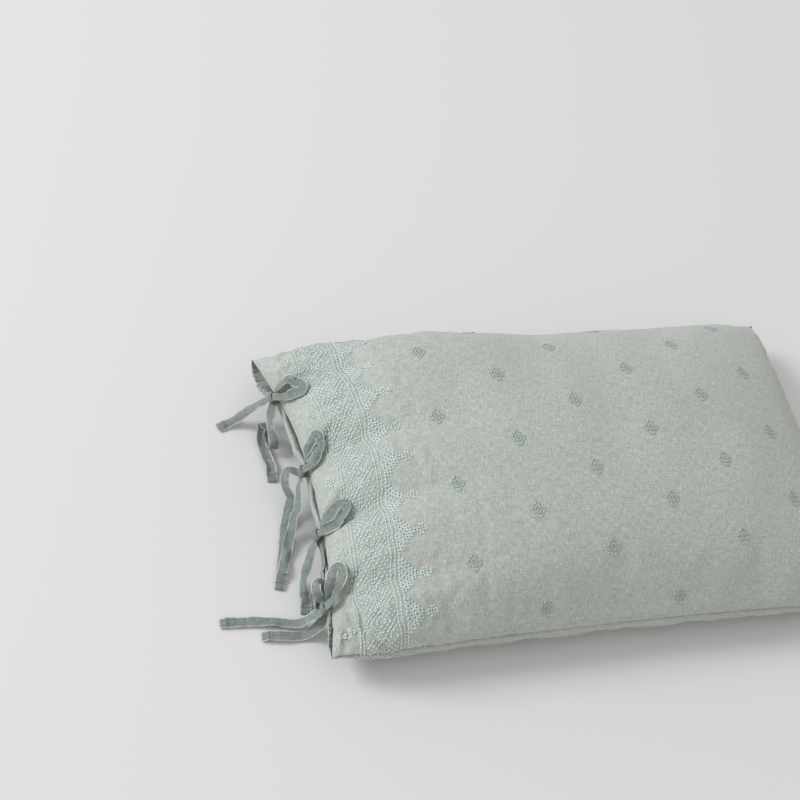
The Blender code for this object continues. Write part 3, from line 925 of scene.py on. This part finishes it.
band_thread = cotton_thread("stranded_cotton", THREAD, THREAD_SHADE)
diamond_thread = cotton_thread("stranded_cotton_deep", DIAMOND_THREAD, DIAMOND_SHADE)

STITCH_WIDTH = 0.0031
STITCH_HEIGHT = 0.0015

# The band at the mouth is charted in cells, one stitch a cell: s and z slant as in the middle
# of those letters, a dash lies along the band and a bar across it. A chart shows one quarter
# of its figure and is mirrored both ways; its rows run away from the band's middle line, and
# its columns run along the band from a star's middle to a lozenge's.
REPEAT = 0.1087
REPEAT_FROM = 0.0461
BAND_FROM = 0.0680
BAND_TO = 0.1095
FIELD = (
    ".s----.zs.s.s.",
    "s.s...z.zs.s.s",
    "|s.s.z.z..s.s.",
    "|.s.z.z.zs.s.s",
    "|..z.z.z..s.s.",
    "|.z.z.z.s..s.s",
)
# The fringe is a row of toothed triangles on the band's inner side, charted by half.
FRINGE = (
    "zszszss",
    "szszss.",
    "zszss..",
    "szss...",
    "zss....",
    "ss.....",
    "|......",
)
# A single lozenge stands off each triangle's point, and others by the hem.
LOZENGE = (
    "-s",
    "z.",
)
LOZENGE_CELL = 0.0040
FRINGE_FROM = 0.1215
FRINGE_CELL = 0.0040
EDGE_LINES = (0.0600, 0.0645, 0.1125, 0.1180)
LINE_STITCH = 0.0048
TIP_AT = 0.1580
HEM_MOTIF_AT = 0.0460
# The case sits a little askew on its filling, so the band comes nearer to the mouth at one end.
ASKEW = 0.0343
ASKEW_BEND = -0.0547
ASKEW_FAR = 0.070
ASKEW_FAR_FROM = 0.03
LONGEST = 1.25
PRESSED = 0.3
PRESSED_BELOW = 0.006
SEAM_CLEAR = 0.0080
SLANTS = {"z": (1, -1), "s": (1, 1), "-": (1, 0), "|": (0, 1)}


def seat(side, middle, way, length):
    """A stitch's two ends and normal, from its middle, way and length on the flat cloth, each
    as (over, down)."""
    half = length / 2
    ends = []
    for sign in (-1, 1):
        over = middle[0] + sign * way[0] * half
        askew = ASKEW * over + ASKEW_BEND * over * over - ASKEW_FAR * max(0.0, over - ASKEW_FAR_FROM)
        askew -= drawn_by_bows(over / band_half_length(side)[1])
        ends.append(on_cloth(side, middle[1] + askew + sign * way[1] * half, over))
    place = (ends[0][0] + ends[1][0]) / 2
    reach = ends[1][0] - ends[0][0]
    reach *= min(1.0, LONGEST * length / reach.length) / 2
    return place - reach, place + reach, (ends[0][1] + ends[1][1]).normalized()


def stitch_height(point):
    """Stitches that the case lies on are pressed flat."""
    return STITCH_HEIGHT * (PRESSED if point.z < PRESSED_BELOW else 1.0)


def band_half_length(side):
    """How far the band runs from the middle line to each side seam."""
    shares, _, over_table = CLOTH[side]
    row = round(float(np.interp(-0.74, shares, np.arange(len(shares)))))
    return over_table[row, 0], over_table[row, -1]


def charted(rows, cell_over, cell_down, mirror_down):
    """The stitches of a chart as (over, down, way, length), mirrored about its first column."""
    marks = []
    for i, row in enumerate(rows):
        for j, mark in enumerate(row):
            if mark == ".":
                continue
            way_over, way_down = SLANTS[mark]
            for flip_over in (1, -1):
                for flip_down in (1, -1) if mirror_down else (1,):
                    reach = Vector((way_over * cell_over * flip_over, way_down * cell_down * flip_down))
                    middle_over = (j + 0.5) * cell_over * flip_over
                    middle_down = (i + 0.5) * cell_down * flip_down
                    marks.append((middle_over, middle_down, reach.normalized(), reach.length))
    return marks


def band_stitches(side):
    low, high = band_half_length(side)
    columns = max(len(row) for row in FIELD)
    field = charted(
        FIELD, REPEAT / 2 / columns, (BAND_TO - BAND_FROM) / 2 / len(FIELD), mirror_down=True
    )
    fringe = charted(FRINGE, REPEAT / 4 / 7, FRINGE_CELL, mirror_down=False)
    lozenge = charted(LOZENGE, LOZENGE_CELL, LOZENGE_CELL, mirror_down=True)
    stitches = []
    draw = random.Random(side + 4)

    def add(over, down, way, length, width=STITCH_WIDTH):
        if low + SEAM_CLEAR < over < high - SEAM_CLEAR:
            start, end, normal = seat(side, (over, down), way, length)
            spread = draw.uniform(0.88, 1.12)
            height = stitch_height(start) * draw.uniform(0.8, 1.2)
            stitches.append((start, end, normal, width * spread, height))

    middle = (BAND_FROM + BAND_TO) / 2
    for k in range(-4, 5):
        base = REPEAT_FROM + k * REPEAT
        for over, down, way, length in field:
            add(base + over, middle + down, way, length)
        for half in (0, 1):
            for over, down, way, length in fringe:
                add(base + over + half * REPEAT / 2, FRINGE_FROM + down, way, length)
            tip = base + half * REPEAT / 2
            for over, down, way, length in lozenge:
                add(tip + over, TIP_AT + down, way, length)
        for over, down, way, length in lozenge:
            add(base + REPEAT / 2 + over, HEM_MOTIF_AT + down, way, length)
    for down in EDGE_LINES:
        count = int((high - low) / LINE_STITCH)
        for k in range(count):
            over = low + (k + 0.5) * LINE_STITCH
            add(over, down, Vector((1, 0)), LINE_STITCH * 1.15, STITCH_WIDTH * 0.9)
    return stitches


for side, place in ((1, "front"), (-1, "back")):
    sew(f"band_{place}", band_stitches(side), band_thread)

# The scattered diamonds stand in a half-drop, four or five to a column. Each is two nested
# rhombi in short stitches, about 19 by 25 mm, with a bar in its middle.
DIAMOND_FIRST_X = -0.1955
DIAMOND_STEP_X = 0.0973
DIAMOND_COLUMNS = 6
DIAMOND_ROWS = range(-3, 4)
DIAMOND_STEP_Y = 0.1087
DIAMOND_EVEN_Y = 0.0461
DIAMOND_SEAM_CLEAR = 0.020
DIAMOND_RINGS = (
    # half_width, half_height, stitches_a_side
    (0.0096, 0.0126, 2),
    (0.0047, 0.0062, 1),
)


def diamond_stitches(side):
    draw = random.Random(side + 40)
    stitches = []
    for i in range(DIAMOND_COLUMNS):
        x = DIAMOND_FIRST_X + i * DIAMOND_STEP_X
        for k in DIAMOND_ROWS:
            y = DIAMOND_EVEN_Y + (k + (i % 2) / 2) * DIAMOND_STEP_Y
            if abs(y) > WIDTH / 2 - DIAMOND_SEAM_CLEAR:
                continue
            hit, normal, _, _ = case_tree.ray_cast(Vector((x, y, side * 1.0)), Vector((0, 0, -side)))
            if hit is None:
                continue
            right_way = (Vector((1, 0, 0)) - normal * normal.x).normalized()
            up_way = normal.cross(right_way)
            tilt = draw.uniform(-0.06, 0.06)
            for half_width_, half_height, count in DIAMOND_RINGS:
                corners = [(half_width_, 0), (0, half_height), (-half_width_, 0), (0, -half_height)]
                for a, b in zip(corners, corners[1:] + corners[:1]):
                    for n in range(count):
                        ends = []
                        for share in ((n - 0.04) / count, (n + 1.04) / count):
                            over, upward = (a[0] + (b[0] - a[0]) * share, a[1] + (b[1] - a[1]) * share)
                            guess = hit + right_way * (over - upward * tilt) + up_way * (upward + over * tilt)
                            ends.append(case_tree.find_nearest(guess))
                        height = stitch_height(ends[0][0])
                        stitches.append((ends[0][0], ends[1][0], ends[0][1], STITCH_WIDTH * 0.85, height))
            low = case_tree.find_nearest(hit - up_way * 0.0022)
            high = case_tree.find_nearest(hit + up_way * 0.0022)
            stitches.append((low[0], high[0], low[1], STITCH_WIDTH, stitch_height(low[0])))
    return stitches


for side, place in ((1, "front"), (-1, "back")):
    sew(f"diamonds_{place}", diamond_stitches(side), diamond_thread)

# --------------------------------------------------------------------------------------------
# The bows: eight flat tapes of the same linen, folded and stitched, with their ends turned in.
# Two are sewn to the lips at each bow, and the front one carries the knot.

TAPE_WIDTH = 0.0145
TAPE_THICKNESS = 0.0016
TAPE_STEP = 0.0022
TAPE_SIDES = 28
ROOT_WIDTH = 0.0080
KNOT_WIDTH = 0.0100
KNOT_THICKNESS = 0.0046

UP = (0.0, 0.0, 1.0)
DOWN = (0.0, 0.0, -1.0)
OUT = (-1.0, 0.0, 0.15)
OUT_UP = (-0.6, 0.0, 0.8)
PANEL = (-0.55, -0.25, 0.80)

FRONT_ROOT = (ROOT_WIDTH, None, DOWN)
BACK_ROOT = (ROOT_WIDTH, None, UP)
KNOT = (KNOT_WIDTH, KNOT_THICKNESS, OUT)
TUCKED = (KNOT_WIDTH, None, None)
LOOSE = (None, None, None)
ON_PANEL = (None, None, PANEL)
ON_FLOOR = (None, None, UP)
SPRUNG = (None, None, OUT_UP)

TAPES = {
    # x, y, z, (width, thickness, facing)
    "tape_front_1": (
        (-0.3814, 0.1660, 0.0590, FRONT_ROOT),
        (-0.3848, 0.1660, 0.0602, TUCKED),
        (-0.3852, 0.1700, 0.0695, TUCKED),
        (-0.3745, 0.1722, 0.0829, LOOSE),
        (-0.3665, 0.1746, 0.0905, ON_PANEL),
        (-0.3581, 0.1698, 0.0941, ON_PANEL),
        (-0.3545, 0.1570, 0.0981, ON_PANEL),
        (-0.3609, 0.1450, 0.0993, ON_PANEL),
        (-0.3725, 0.1466, 0.0901, LOOSE),
        (-0.3880, 0.1550, 0.0745, TUCKED),
        (-0.3910, 0.1650, 0.0610, KNOT),
        (-0.3935, 0.1685, 0.0520, TUCKED),
        (-0.4030, 0.1680, 0.0380, SPRUNG),
        (-0.4150, 0.1680, 0.0215, SPRUNG),
        (-0.4270, 0.1675, 0.0068, LOOSE),
        (-0.4395, 0.1645, 0.0008, ON_FLOOR),
        (-0.4528, 0.1601, 0.0008, ON_FLOOR),
    ),
    "tape_back_1": (
        (-0.3808, 0.1630, 0.0531, BACK_ROOT),
        (-0.3850, 0.1630, 0.0520, TUCKED),
        (-0.3912, 0.1540, 0.0500, LOOSE),
        (-0.3945, 0.1420, 0.0430, SPRUNG),
        (-0.3935, 0.1300, 0.0325, SPRUNG),
        (-0.3905, 0.1200, 0.0245, LOOSE),
        (-0.3888, 0.1130, 0.0180, ON_FLOOR),
        (-0.3885, 0.1110, 0.0130, LOOSE),
        (-0.3895, 0.1150, 0.0088, LOOSE),
        (-0.3940, 0.1300, 0.0155, ON_FLOOR),
        (-0.3975, 0.1440, 0.0222, LOOSE),
        (-0.3985, 0.1475, 0.0208, LOOSE),
        (-0.3990, 0.1450, 0.0170, LOOSE),
        (-0.3990, 0.1330, 0.0085, ON_FLOOR),
        (-0.3975, 0.1190, 0.0024, ON_FLOOR),
        (-0.3945, 0.1010, 0.0008, ON_FLOOR),
        (-0.3935, 0.0820, 0.0008, ON_FLOOR),
        (-0.3946, 0.0637, 0.0008, ON_FLOOR),
    ),
    "tape_front_2": (
        (-0.3690, 0.0410, 0.0590, FRONT_ROOT),
        (-0.3727, 0.0410, 0.0604, TUCKED),
        (-0.3738, 0.0480, 0.0700, TUCKED),
        (-0.3703, 0.0577, 0.0858, LOOSE),
        (-0.3664, 0.0667, 0.0966, ON_PANEL),
        (-0.3602, 0.0727, 0.1052, ON_PANEL),
        (-0.3533, 0.0641, 0.1077, ON_PANEL),
        (-0.3535, 0.0512, 0.0992, ON_PANEL),
        (-0.3636, 0.0400, 0.0875, LOOSE),
        (-0.3765, 0.0350, 0.0735, TUCKED),
        (-0.3786, 0.0395, 0.0605, KNOT),
        (-0.3797, 0.0340, 0.0520, TUCKED),
        (-0.3795, 0.0240, 0.0450, LOOSE),
        (-0.3795, 0.0120, 0.0390, LOOSE),
        (-0.3820, -0.0030, 0.0290, LOOSE),
        (-0.3870, -0.0190, 0.0150, LOOSE),
        (-0.3930, -0.0350, 0.0055, LOOSE),
        (-0.4010, -0.0560, 0.0030, ON_FLOOR),
        (-0.4095, -0.0780, 0.0030, ON_FLOOR),
        (-0.4150, -0.0950, 0.0030, ON_FLOOR),
    ),
    "tape_back_2": (
        (-0.3688, 0.0390, 0.0531, BACK_ROOT),
        (-0.3728, 0.0390, 0.0512, TUCKED),
        (-0.3790, 0.0450, 0.0465, TUCKED),
        (-0.3865, 0.0500, 0.0475, LOOSE),
        (-0.3940, 0.0485, 0.0480, SPRUNG),
        (-0.3980, 0.0410, 0.0440, SPRUNG),
        (-0.3960, 0.0320, 0.0375, LOOSE),
        (-0.3910, 0.0255, 0.0310, LOOSE),
        (-0.3860, 0.0200, 0.0240, LOOSE),
        (-0.3870, 0.0090, 0.0120, LOOSE),
        (-0.3905, -0.0050, 0.0035, LOOSE),
        (-0.3945, -0.0190, 0.0008, ON_FLOOR),
        (-0.4010, -0.0420, 0.0008, ON_FLOOR),
        (-0.4090, -0.0700, 0.0008, ON_FLOOR),
        (-0.4201, -0.1073, 0.0008, ON_FLOOR),
    ),
    "tape_front_3": (
        (-0.3697, -0.0600, 0.0590, FRONT_ROOT),
        (-0.3735, -0.0600, 0.0604, TUCKED),
        (-0.3742, -0.0540, 0.0700, TUCKED),
        (-0.3680, -0.0490, 0.0820, LOOSE),
        (-0.3580, -0.0430, 0.0950, ON_PANEL),
        (-0.3465, -0.0385, 0.1095, ON_PANEL),
        (-0.3360, -0.0450, 0.1165, (0.0125, None, PANEL)),
        (-0.3395, -0.0580, 0.1080, ON_PANEL),
        (-0.3525, -0.0690, 0.0960, ON_PANEL),
        (-0.3670, -0.0710, 0.0820, LOOSE),
        (-0.3772, -0.0670, 0.0715, TUCKED),
        (-0.3793, -0.0625, 0.0600, KNOT),
        (-0.3808, -0.0670, 0.0510, TUCKED),
        (-0.3835, -0.0770, 0.0400, LOOSE),
        (-0.3862, -0.0890, 0.0260, SPRUNG),
        (-0.3882, -0.1020, 0.0130, SPRUNG),
        (-0.3890, -0.1180, 0.0035, ON_FLOOR),
        (-0.3895, -0.1340, 0.0008, ON_FLOOR),
        (-0.3925, -0.1480, 0.0008, ON_FLOOR),
    ),
    "tape_back_3": (
        (-0.3699, -0.0620, 0.0531, BACK_ROOT),
        (-0.3731, -0.0620, 0.0518, BACK_ROOT),
        (-0.3752, -0.0665, 0.0500, (0.0080, None, None)),
        (-0.3750, -0.0770, 0.0505, (0.0100, None, OUT)),
        (-0.3752, -0.0900, 0.0505, (0.0115, None, OUT)),
        (-0.3768, -0.1040, 0.0490, (0.0120, None, OUT)),
        (-0.3790, -0.1160, 0.0430, LOOSE),
        (-0.3805, -0.1270, 0.0300, LOOSE),
        (-0.3795, -0.1360, 0.0130, LOOSE),
        (-0.3730, -0.1430, 0.0020, LOOSE),
        (-0.3640, -0.1490, 0.0008, ON_FLOOR),
    ),
    "tape_front_4": (
        (-0.3820, -0.1700, 0.0590, FRONT_ROOT),
        (-0.3852, -0.1700, 0.0602, TUCKED),
        (-0.3866, -0.1625, 0.0690, TUCKED),
        (-0.3903, -0.1486, 0.0800, LOOSE),
        (-0.3895, -0.1388, 0.0866, ON_PANEL),
        (-0.3829, -0.1335, 0.0923, ON_PANEL),
        (-0.3756, -0.1367, 0.0968, ON_PANEL),
        (-0.3711, -0.1466, 0.0968, ON_PANEL),
        (-0.3727, -0.1576, 0.0903, LOOSE),
        (-0.3809, -0.1667, 0.0817, TUCKED),
        (-0.3905, -0.1750, 0.0705, TUCKED),
        (-0.3932, -0.1715, 0.0580, KNOT),
        (-0.3938, -0.1720, 0.0470, TUCKED),
        (-0.3955, -0.1675, 0.0290, SPRUNG),
        (-0.4025, -0.1650, 0.0120, SPRUNG),
        (-0.4130, -0.1620, 0.0022, LOOSE),
        (-0.4270, -0.1580, 0.0008, ON_FLOOR),
        (-0.4600, -0.1525, 0.0008, ON_FLOOR),
        (-0.5084, -0.1493, 0.0008, ON_FLOOR),
    ),
    "tape_back_4": (
        (-0.3821, -0.1680, 0.0531, BACK_ROOT),
        (-0.3856, -0.1680, 0.0515, TUCKED),
        (-0.3885, -0.1600, 0.0490, TUCKED),
        (-0.3940, -0.1535, 0.0540, LOOSE),
        (-0.3985, -0.1475, 0.0610, SPRUNG),
        (-0.3970, -0.1385, 0.0630, SPRUNG),
        (-0.3893, -0.1365, 0.0600, SPRUNG),
        (-0.3850, -0.1440, 0.0520, LOOSE),
        (-0.3850, -0.1560, 0.0420, TUCKED),
        (-0.3856, -0.1680, 0.0350, TUCKED),
        (-0.3870, -0.1760, 0.0220, LOOSE),
        (-0.3930, -0.1790, 0.0070, LOOSE),
        (-0.4040, -0.1800, 0.0008, ON_FLOOR),
        (-0.4200, -0.1795, 0.0008, ON_FLOOR),
        (-0.4570, -0.1748, 0.0008, ON_FLOOR),
    ),
}


def between(before, start, end, after, share):
    """A point on the smooth curve from start to end, given the points on either side."""
    square, cube = share ** 2, share ** 3
    return 0.5 * (
        2 * start
        + (end - before) * share
        + (2 * before - 5 * start + 4 * end - after) * square
        + (3 * start - before - 3 * end + after) * cube
    )


def stations(route):
    """Even steps along a route: middle, width, thickness, and the facing where one is given."""
    points = [Vector(row[:3]) for row in route]
    sizes = [(row[3][0] or TAPE_WIDTH, row[3][1] or TAPE_THICKNESS) for row in route]
    facings = [row[3][2] for row in route]
    points = [2 * points[0] - points[1]] + points + [2 * points[-1] - points[-2]]
    steps = []
    for i in range(len(route) - 1):
        length = (points[i + 2] - points[i + 1]).length
        count = max(1, round(length / TAPE_STEP))
        for step in range(count):
            share = step / count
            ease = share * share * (3 - 2 * share)
            middle = between(*points[i:i + 4], share)
            width = sizes[i][0] + (sizes[i + 1][0] - sizes[i][0]) * ease
            thick = sizes[i][1] + (sizes[i + 1][1] - sizes[i][1]) * ease
            steps.append((middle, width, thick, facings[i] if step == 0 else None))
    steps.append((points[-2], *sizes[-1], facings[-1]))
    return steps


def face_directions(middles, facings):
    """Each step's tangent and flat-face direction: carried along the route with the least
    turning, and twisted evenly between the steps whose facing is given."""
    last = len(middles) - 1
    tangents = [
        (middles[min(i + 1, last)] - middles[max(i - 1, 0)]).normalized()
        for i in range(last + 1)
    ]
    face = Vector(facings[0])
    carried = []
    for tangent in tangents:
        face = (face - tangent * face.dot(tangent)).normalized()
        carried.append(face)
    twists = {}
    for i, facing in enumerate(facings):
        if facing is not None:
            wanted = Vector(facing) - tangents[i] * Vector(facing).dot(tangents[i])
            side = tangents[i].cross(carried[i])
            angle = math.atan2(wanted.dot(side), wanted.dot(carried[i]))
            known = list(twists.values())[-1] if twists else 0.0
            twists[i] = angle - math.pi * round((angle - known) / math.pi)
    pinned = sorted(twists)
    faces = []
    for i, face in enumerate(carried):
        before = max(at for at in pinned if at <= i)
        after = min((at for at in pinned if at >= i), default=before)
        share = (i - before) / (after - before) if after > before else 0.0
        twist = twists[before] + (twists[after] - twists[before]) * share
        side = tangents[i].cross(face)
        faces.append(face * math.cos(twist) + side * math.sin(twist))
    return tangents, faces


# A tape is folded over along its middle, and knotting and washing have left it creased: long
# folds that wander across it, kinks where it was bent, and slack twists. Its end is turned in
# and stitched across.
TAPE_FULLNESS = 0.72
FOLD_DEPTH = 0.0056
FOLD_REACH = 0.055
FOLD_WANDER = 0.45
RIPPLE = 0.0007
KINK = 0.0012
KINK_REACH = 0.016
TWIST = 13.0
TWIST_REACH = 0.024
CURL = 0.0012
FREE_FROM = 0.0112
FREE_OVER = 0.0030
END_HEM_SWELL = 1.35
END_STITCH_DENT = 0.62
SEAT_IN_HEM = 0.0016
SMOOTHED_OVER = 5
BEND_OVER = 3
BEND_CALMS = 0.9
FLOOR_CALM = 0.55
FLOOR_LIES = 0.004
HANGS_BELOW = 0.045
LOOPS = {
    # first_row, last_row, along, across
    "tape_front_1": (3, 8, 0.95, 0.80),
    "tape_front_2": (3, 8, 0.90, 0.66),
    "tape_front_3": (3, 9, 0.78, 0.62),
    "tape_front_4": (3, 9, 1.00, 0.80),
}
PANEL_ABOVE = 0.072
PANEL_OVER = 0.012
REST_GAP = 0.0042
SINK = 0.7


def tape_section(turn, width, thick):
    """A point of the tape's flat section, as across and through sizes."""
    across = math.copysign(abs(math.cos(turn)) ** 0.6, math.cos(turn))
    through = math.copysign(abs(math.sin(turn)) ** 0.4, math.sin(turn))
    return across * width / 2, through * thick / 2


def tape_fold(share, gone, seed):
    """How far a tape's face is lifted by its folds, at a share of its half-width."""
    depth = FOLD_DEPTH * max(0.0, 0.55 + wander(gone / FOLD_REACH, seed, 3))
    ridge = FOLD_WANDER * wander(gone / FOLD_REACH, seed, 8)
    slope = abs(share - ridge) / (1 + abs(ridge))
    lift = depth * (slope if wander(gone / FOLD_REACH / 2, seed, 12) > 0 else 1 - slope)
    return lift + RIPPLE * wander(share * 2.6, gone / 0.03, seed) + CURL * share ** 4


def away_from_case(middle):
    """The way out from what a tape lies on, the case or the floor."""
    near = case_tree.find_nearest(middle)[0]
    return Vector(UP) if middle.z < (middle - near).length else (middle - near).normalized()


def pull_in(middle):
    """A tape follows the lip that the knots have drawn in, less so as it nears the floor."""
    share = min(1.0, max(0.0, middle.z / HANGS_BELOW))
    return middle + Vector((drawn_by_bows(middle.y / (WIDTH / 2)) * share, 0, 0))


def tightened(route, name):
    """Draws a loop together: shorter away from its knot, and narrower across."""
    first, last, along, across = LOOPS[name]
    foot = (Vector(route[first - 1][:3]) + Vector(route[last + 1][:3])) / 2
    tip = max((Vector(row[:3]) for row in route[first:last + 1]), key=lambda p: (p - foot).length)
    ahead = (tip - foot).normalized()
    rows = list(route)
    for k in range(first, last + 1):
        reach = Vector(route[k][:3]) - foot
        forward = ahead * reach.dot(ahead)
        rows[k] = (*(foot + forward * along + (reach - forward) * across), route[k][3])
    return rows


def settle(middle):
    """A loop that would stand off the front panel sinks most of the way to it."""
    near = case_tree.find_nearest(middle)[0]
    reach = middle - near
    share = min(1.0, max(0.0, (middle.z - PANEL_ABOVE) / PANEL_OVER))
    spare = max(0.0, reach.length - REST_GAP) * SINK * share
    return middle - reach.normalized() * spare


def make_tape(name, route, material):
    steps = [(settle(pull_in(step[0])), *step[1:]) for step in stations(route)]
    tangents, faces = face_directions([step[0] for step in steps], [step[3] for step in steps])
    gone = [0.0]
    for before, after in zip(steps, steps[1:]):
        gone.append(gone[-1] + (after[0] - before[0]).length)
    seed = sum(ord(letter) * (k + 1) for k, letter in enumerate(name)) / 7
    last = len(steps) - 1
    ways = [away_from_case(step[0]) for step in steps]
    lifts = [
        sum((ways[k] for k in range(max(0, i - SMOOTHED_OVER), min(last, i + SMOOTHED_OVER) + 1)),
            Vector()).normalized().dot(faces[i])
        for i in range(last + 1)
    ]
    calm = []
    for i, step in enumerate(steps):
        bend = tangents[max(0, i - BEND_OVER)].angle(tangents[min(last, i + BEND_OVER)])
        calm.append((FLOOR_CALM if step[0].z < FLOOR_LIES else 1.0) / (1 + (bend / BEND_CALMS) ** 2))
    bm = bmesh.new()
    lay = bm.verts.layers.float_vector.new("cloth")
    grid = bmesh.ops.create_grid(bm, x_segments=last, y_segments=TAPE_SIDES, size=1)
    for vert in grid["verts"]:
        i = round((vert.co.x + 1) / 2 * last)
        corner = round((vert.co.y + 1) / 2 * TAPE_SIDES) % TAPE_SIDES
        middle, width, thick, _ = steps[i]
        to_end = gone[-1] - gone[i]
        free = min(1.0, max(0.0, (width - FREE_FROM) / FREE_OVER)) * min(1.0, to_end / HEM_ROW)
        plump = END_HEM_SWELL if to_end < HEM_ROW else 1.0
        plump = END_STITCH_DENT if abs(to_end - HEM_ROW) < TAPE_STEP / 2 else plump
        width *= 1 + 0.03 * wander(gone[i] * 45, seed, 0)
        turn = math.tau * corner / TAPE_SIDES
        across, through = tape_section(turn, width, thick * TAPE_FULLNESS * plump)
        lift = tape_fold(across / width * 2, gone[i], seed) * free * calm[i]
        kink = KINK * free * (0.5 + abs(wander(gone[i] / KINK_REACH, seed, 20)))
        step_twist = math.tanh(3 * wander(gone[i] / TWIST_REACH, seed, 31))
        twist = math.radians(TWIST) * free * step_twist * calm[i]
        side = tangents[i].cross(faces[i])
        side_here = side * math.cos(twist) + faces[i] * math.sin(twist)
        face_here = faces[i] * math.cos(twist) - side * math.sin(twist)
        slack = abs(math.sin(twist)) * width / 2 * free
        start = tangents[0] * SEAT_IN_HEM * (1 if i == 0 else 0)
        out = faces[i] * (kink + slack) * lifts[i]
        vert.co = middle - start + out + side_here * across + face_here * (through + lift * lifts[i])
        vert.co.z = max(vert.co.z, 0.0)
        vert[lay] = (across, gone[i], to_end)
    bmesh.ops.remove_doubles(bm, verts=bm.verts, dist=WELD)
    bmesh.ops.holes_fill(bm, edges=bm.edges, sides=TAPE_SIDES)
    bmesh.ops.recalc_face_normals(bm, faces=bm.faces)
    if bm.calc_volume(signed=True) < 0:
        bmesh.ops.reverse_faces(bm, faces=bm.faces)
    return add_piece(name, bm, material), gone[-1]


# Each bow's knot is the front tape wound once round both, drawn tight and so narrower.
KNOT_WRAP_WIDTH = 0.0105
KNOT_WRAP_THICKNESS = 0.0026
KNOT_WRAP_TURN = 470
KNOT_WRAP_ROWS = 13
KNOT_WRAP_REACH = 0.0056
KNOT_WRAP_DEPTH = 0.0033
KNOT_WRAP_GROWTH = 0.0012


def knot_route(route):
    """The way that a tape winds round itself at the knot of its route."""
    at = next(i for i, row in enumerate(route) if row[3] is KNOT)
    middle = Vector(route[at][:3])
    ahead = (Vector(route[at + 1][:3]) - Vector(route[at - 1][:3])).normalized()
    face = (Vector(OUT) - ahead * Vector(OUT).dot(ahead)).normalized()
    side = ahead.cross(face)
    rows = []
    for k in range(KNOT_WRAP_ROWS):
        share = k / (KNOT_WRAP_ROWS - 1)
        turn = math.radians(200 + KNOT_WRAP_TURN * share)
        spread = KNOT_WRAP_GROWTH * share
        reach = side * math.sin(turn) * (KNOT_WRAP_REACH + spread)
        reach += face * math.cos(turn) * (KNOT_WRAP_DEPTH + spread)
        place = middle + reach + ahead * 0.0035 * (share - 0.5)
        rows.append((*place, (KNOT_WRAP_WIDTH, KNOT_WRAP_THICKNESS, tuple(reach.normalized()))))
    return rows


TAPE_LINEN = "7F8780"
TAPE_PALE = "CED6D0"
TAPE_DEEP = "606A64"
tape_linen = linen_material(
    "tape_linen", TAPE_PALE, TAPE_LINEN, TAPE_DEEP, yarn=0.0011, rim=TAPE_WIDTH / 2
)
tape_lengths = {}
for tape_name, tape_route in TAPES.items():
    if tape_name in LOOPS:
        tape_route = tightened(tape_route, tape_name)
    tape, tape_length = make_tape(tape_name.replace("tape", "bow_tape"), tape_route, tape_linen)
    tape_lengths[tape_name] = tape_length
    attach(tape, "root")
    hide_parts(tape_name)
    if "front" in tape_name:
        knot_name = tape_name.replace("tape_front", "bow_knot")
        knot, _ = make_tape(knot_name, knot_route(tape_route), tape_linen)
        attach(knot, "root")
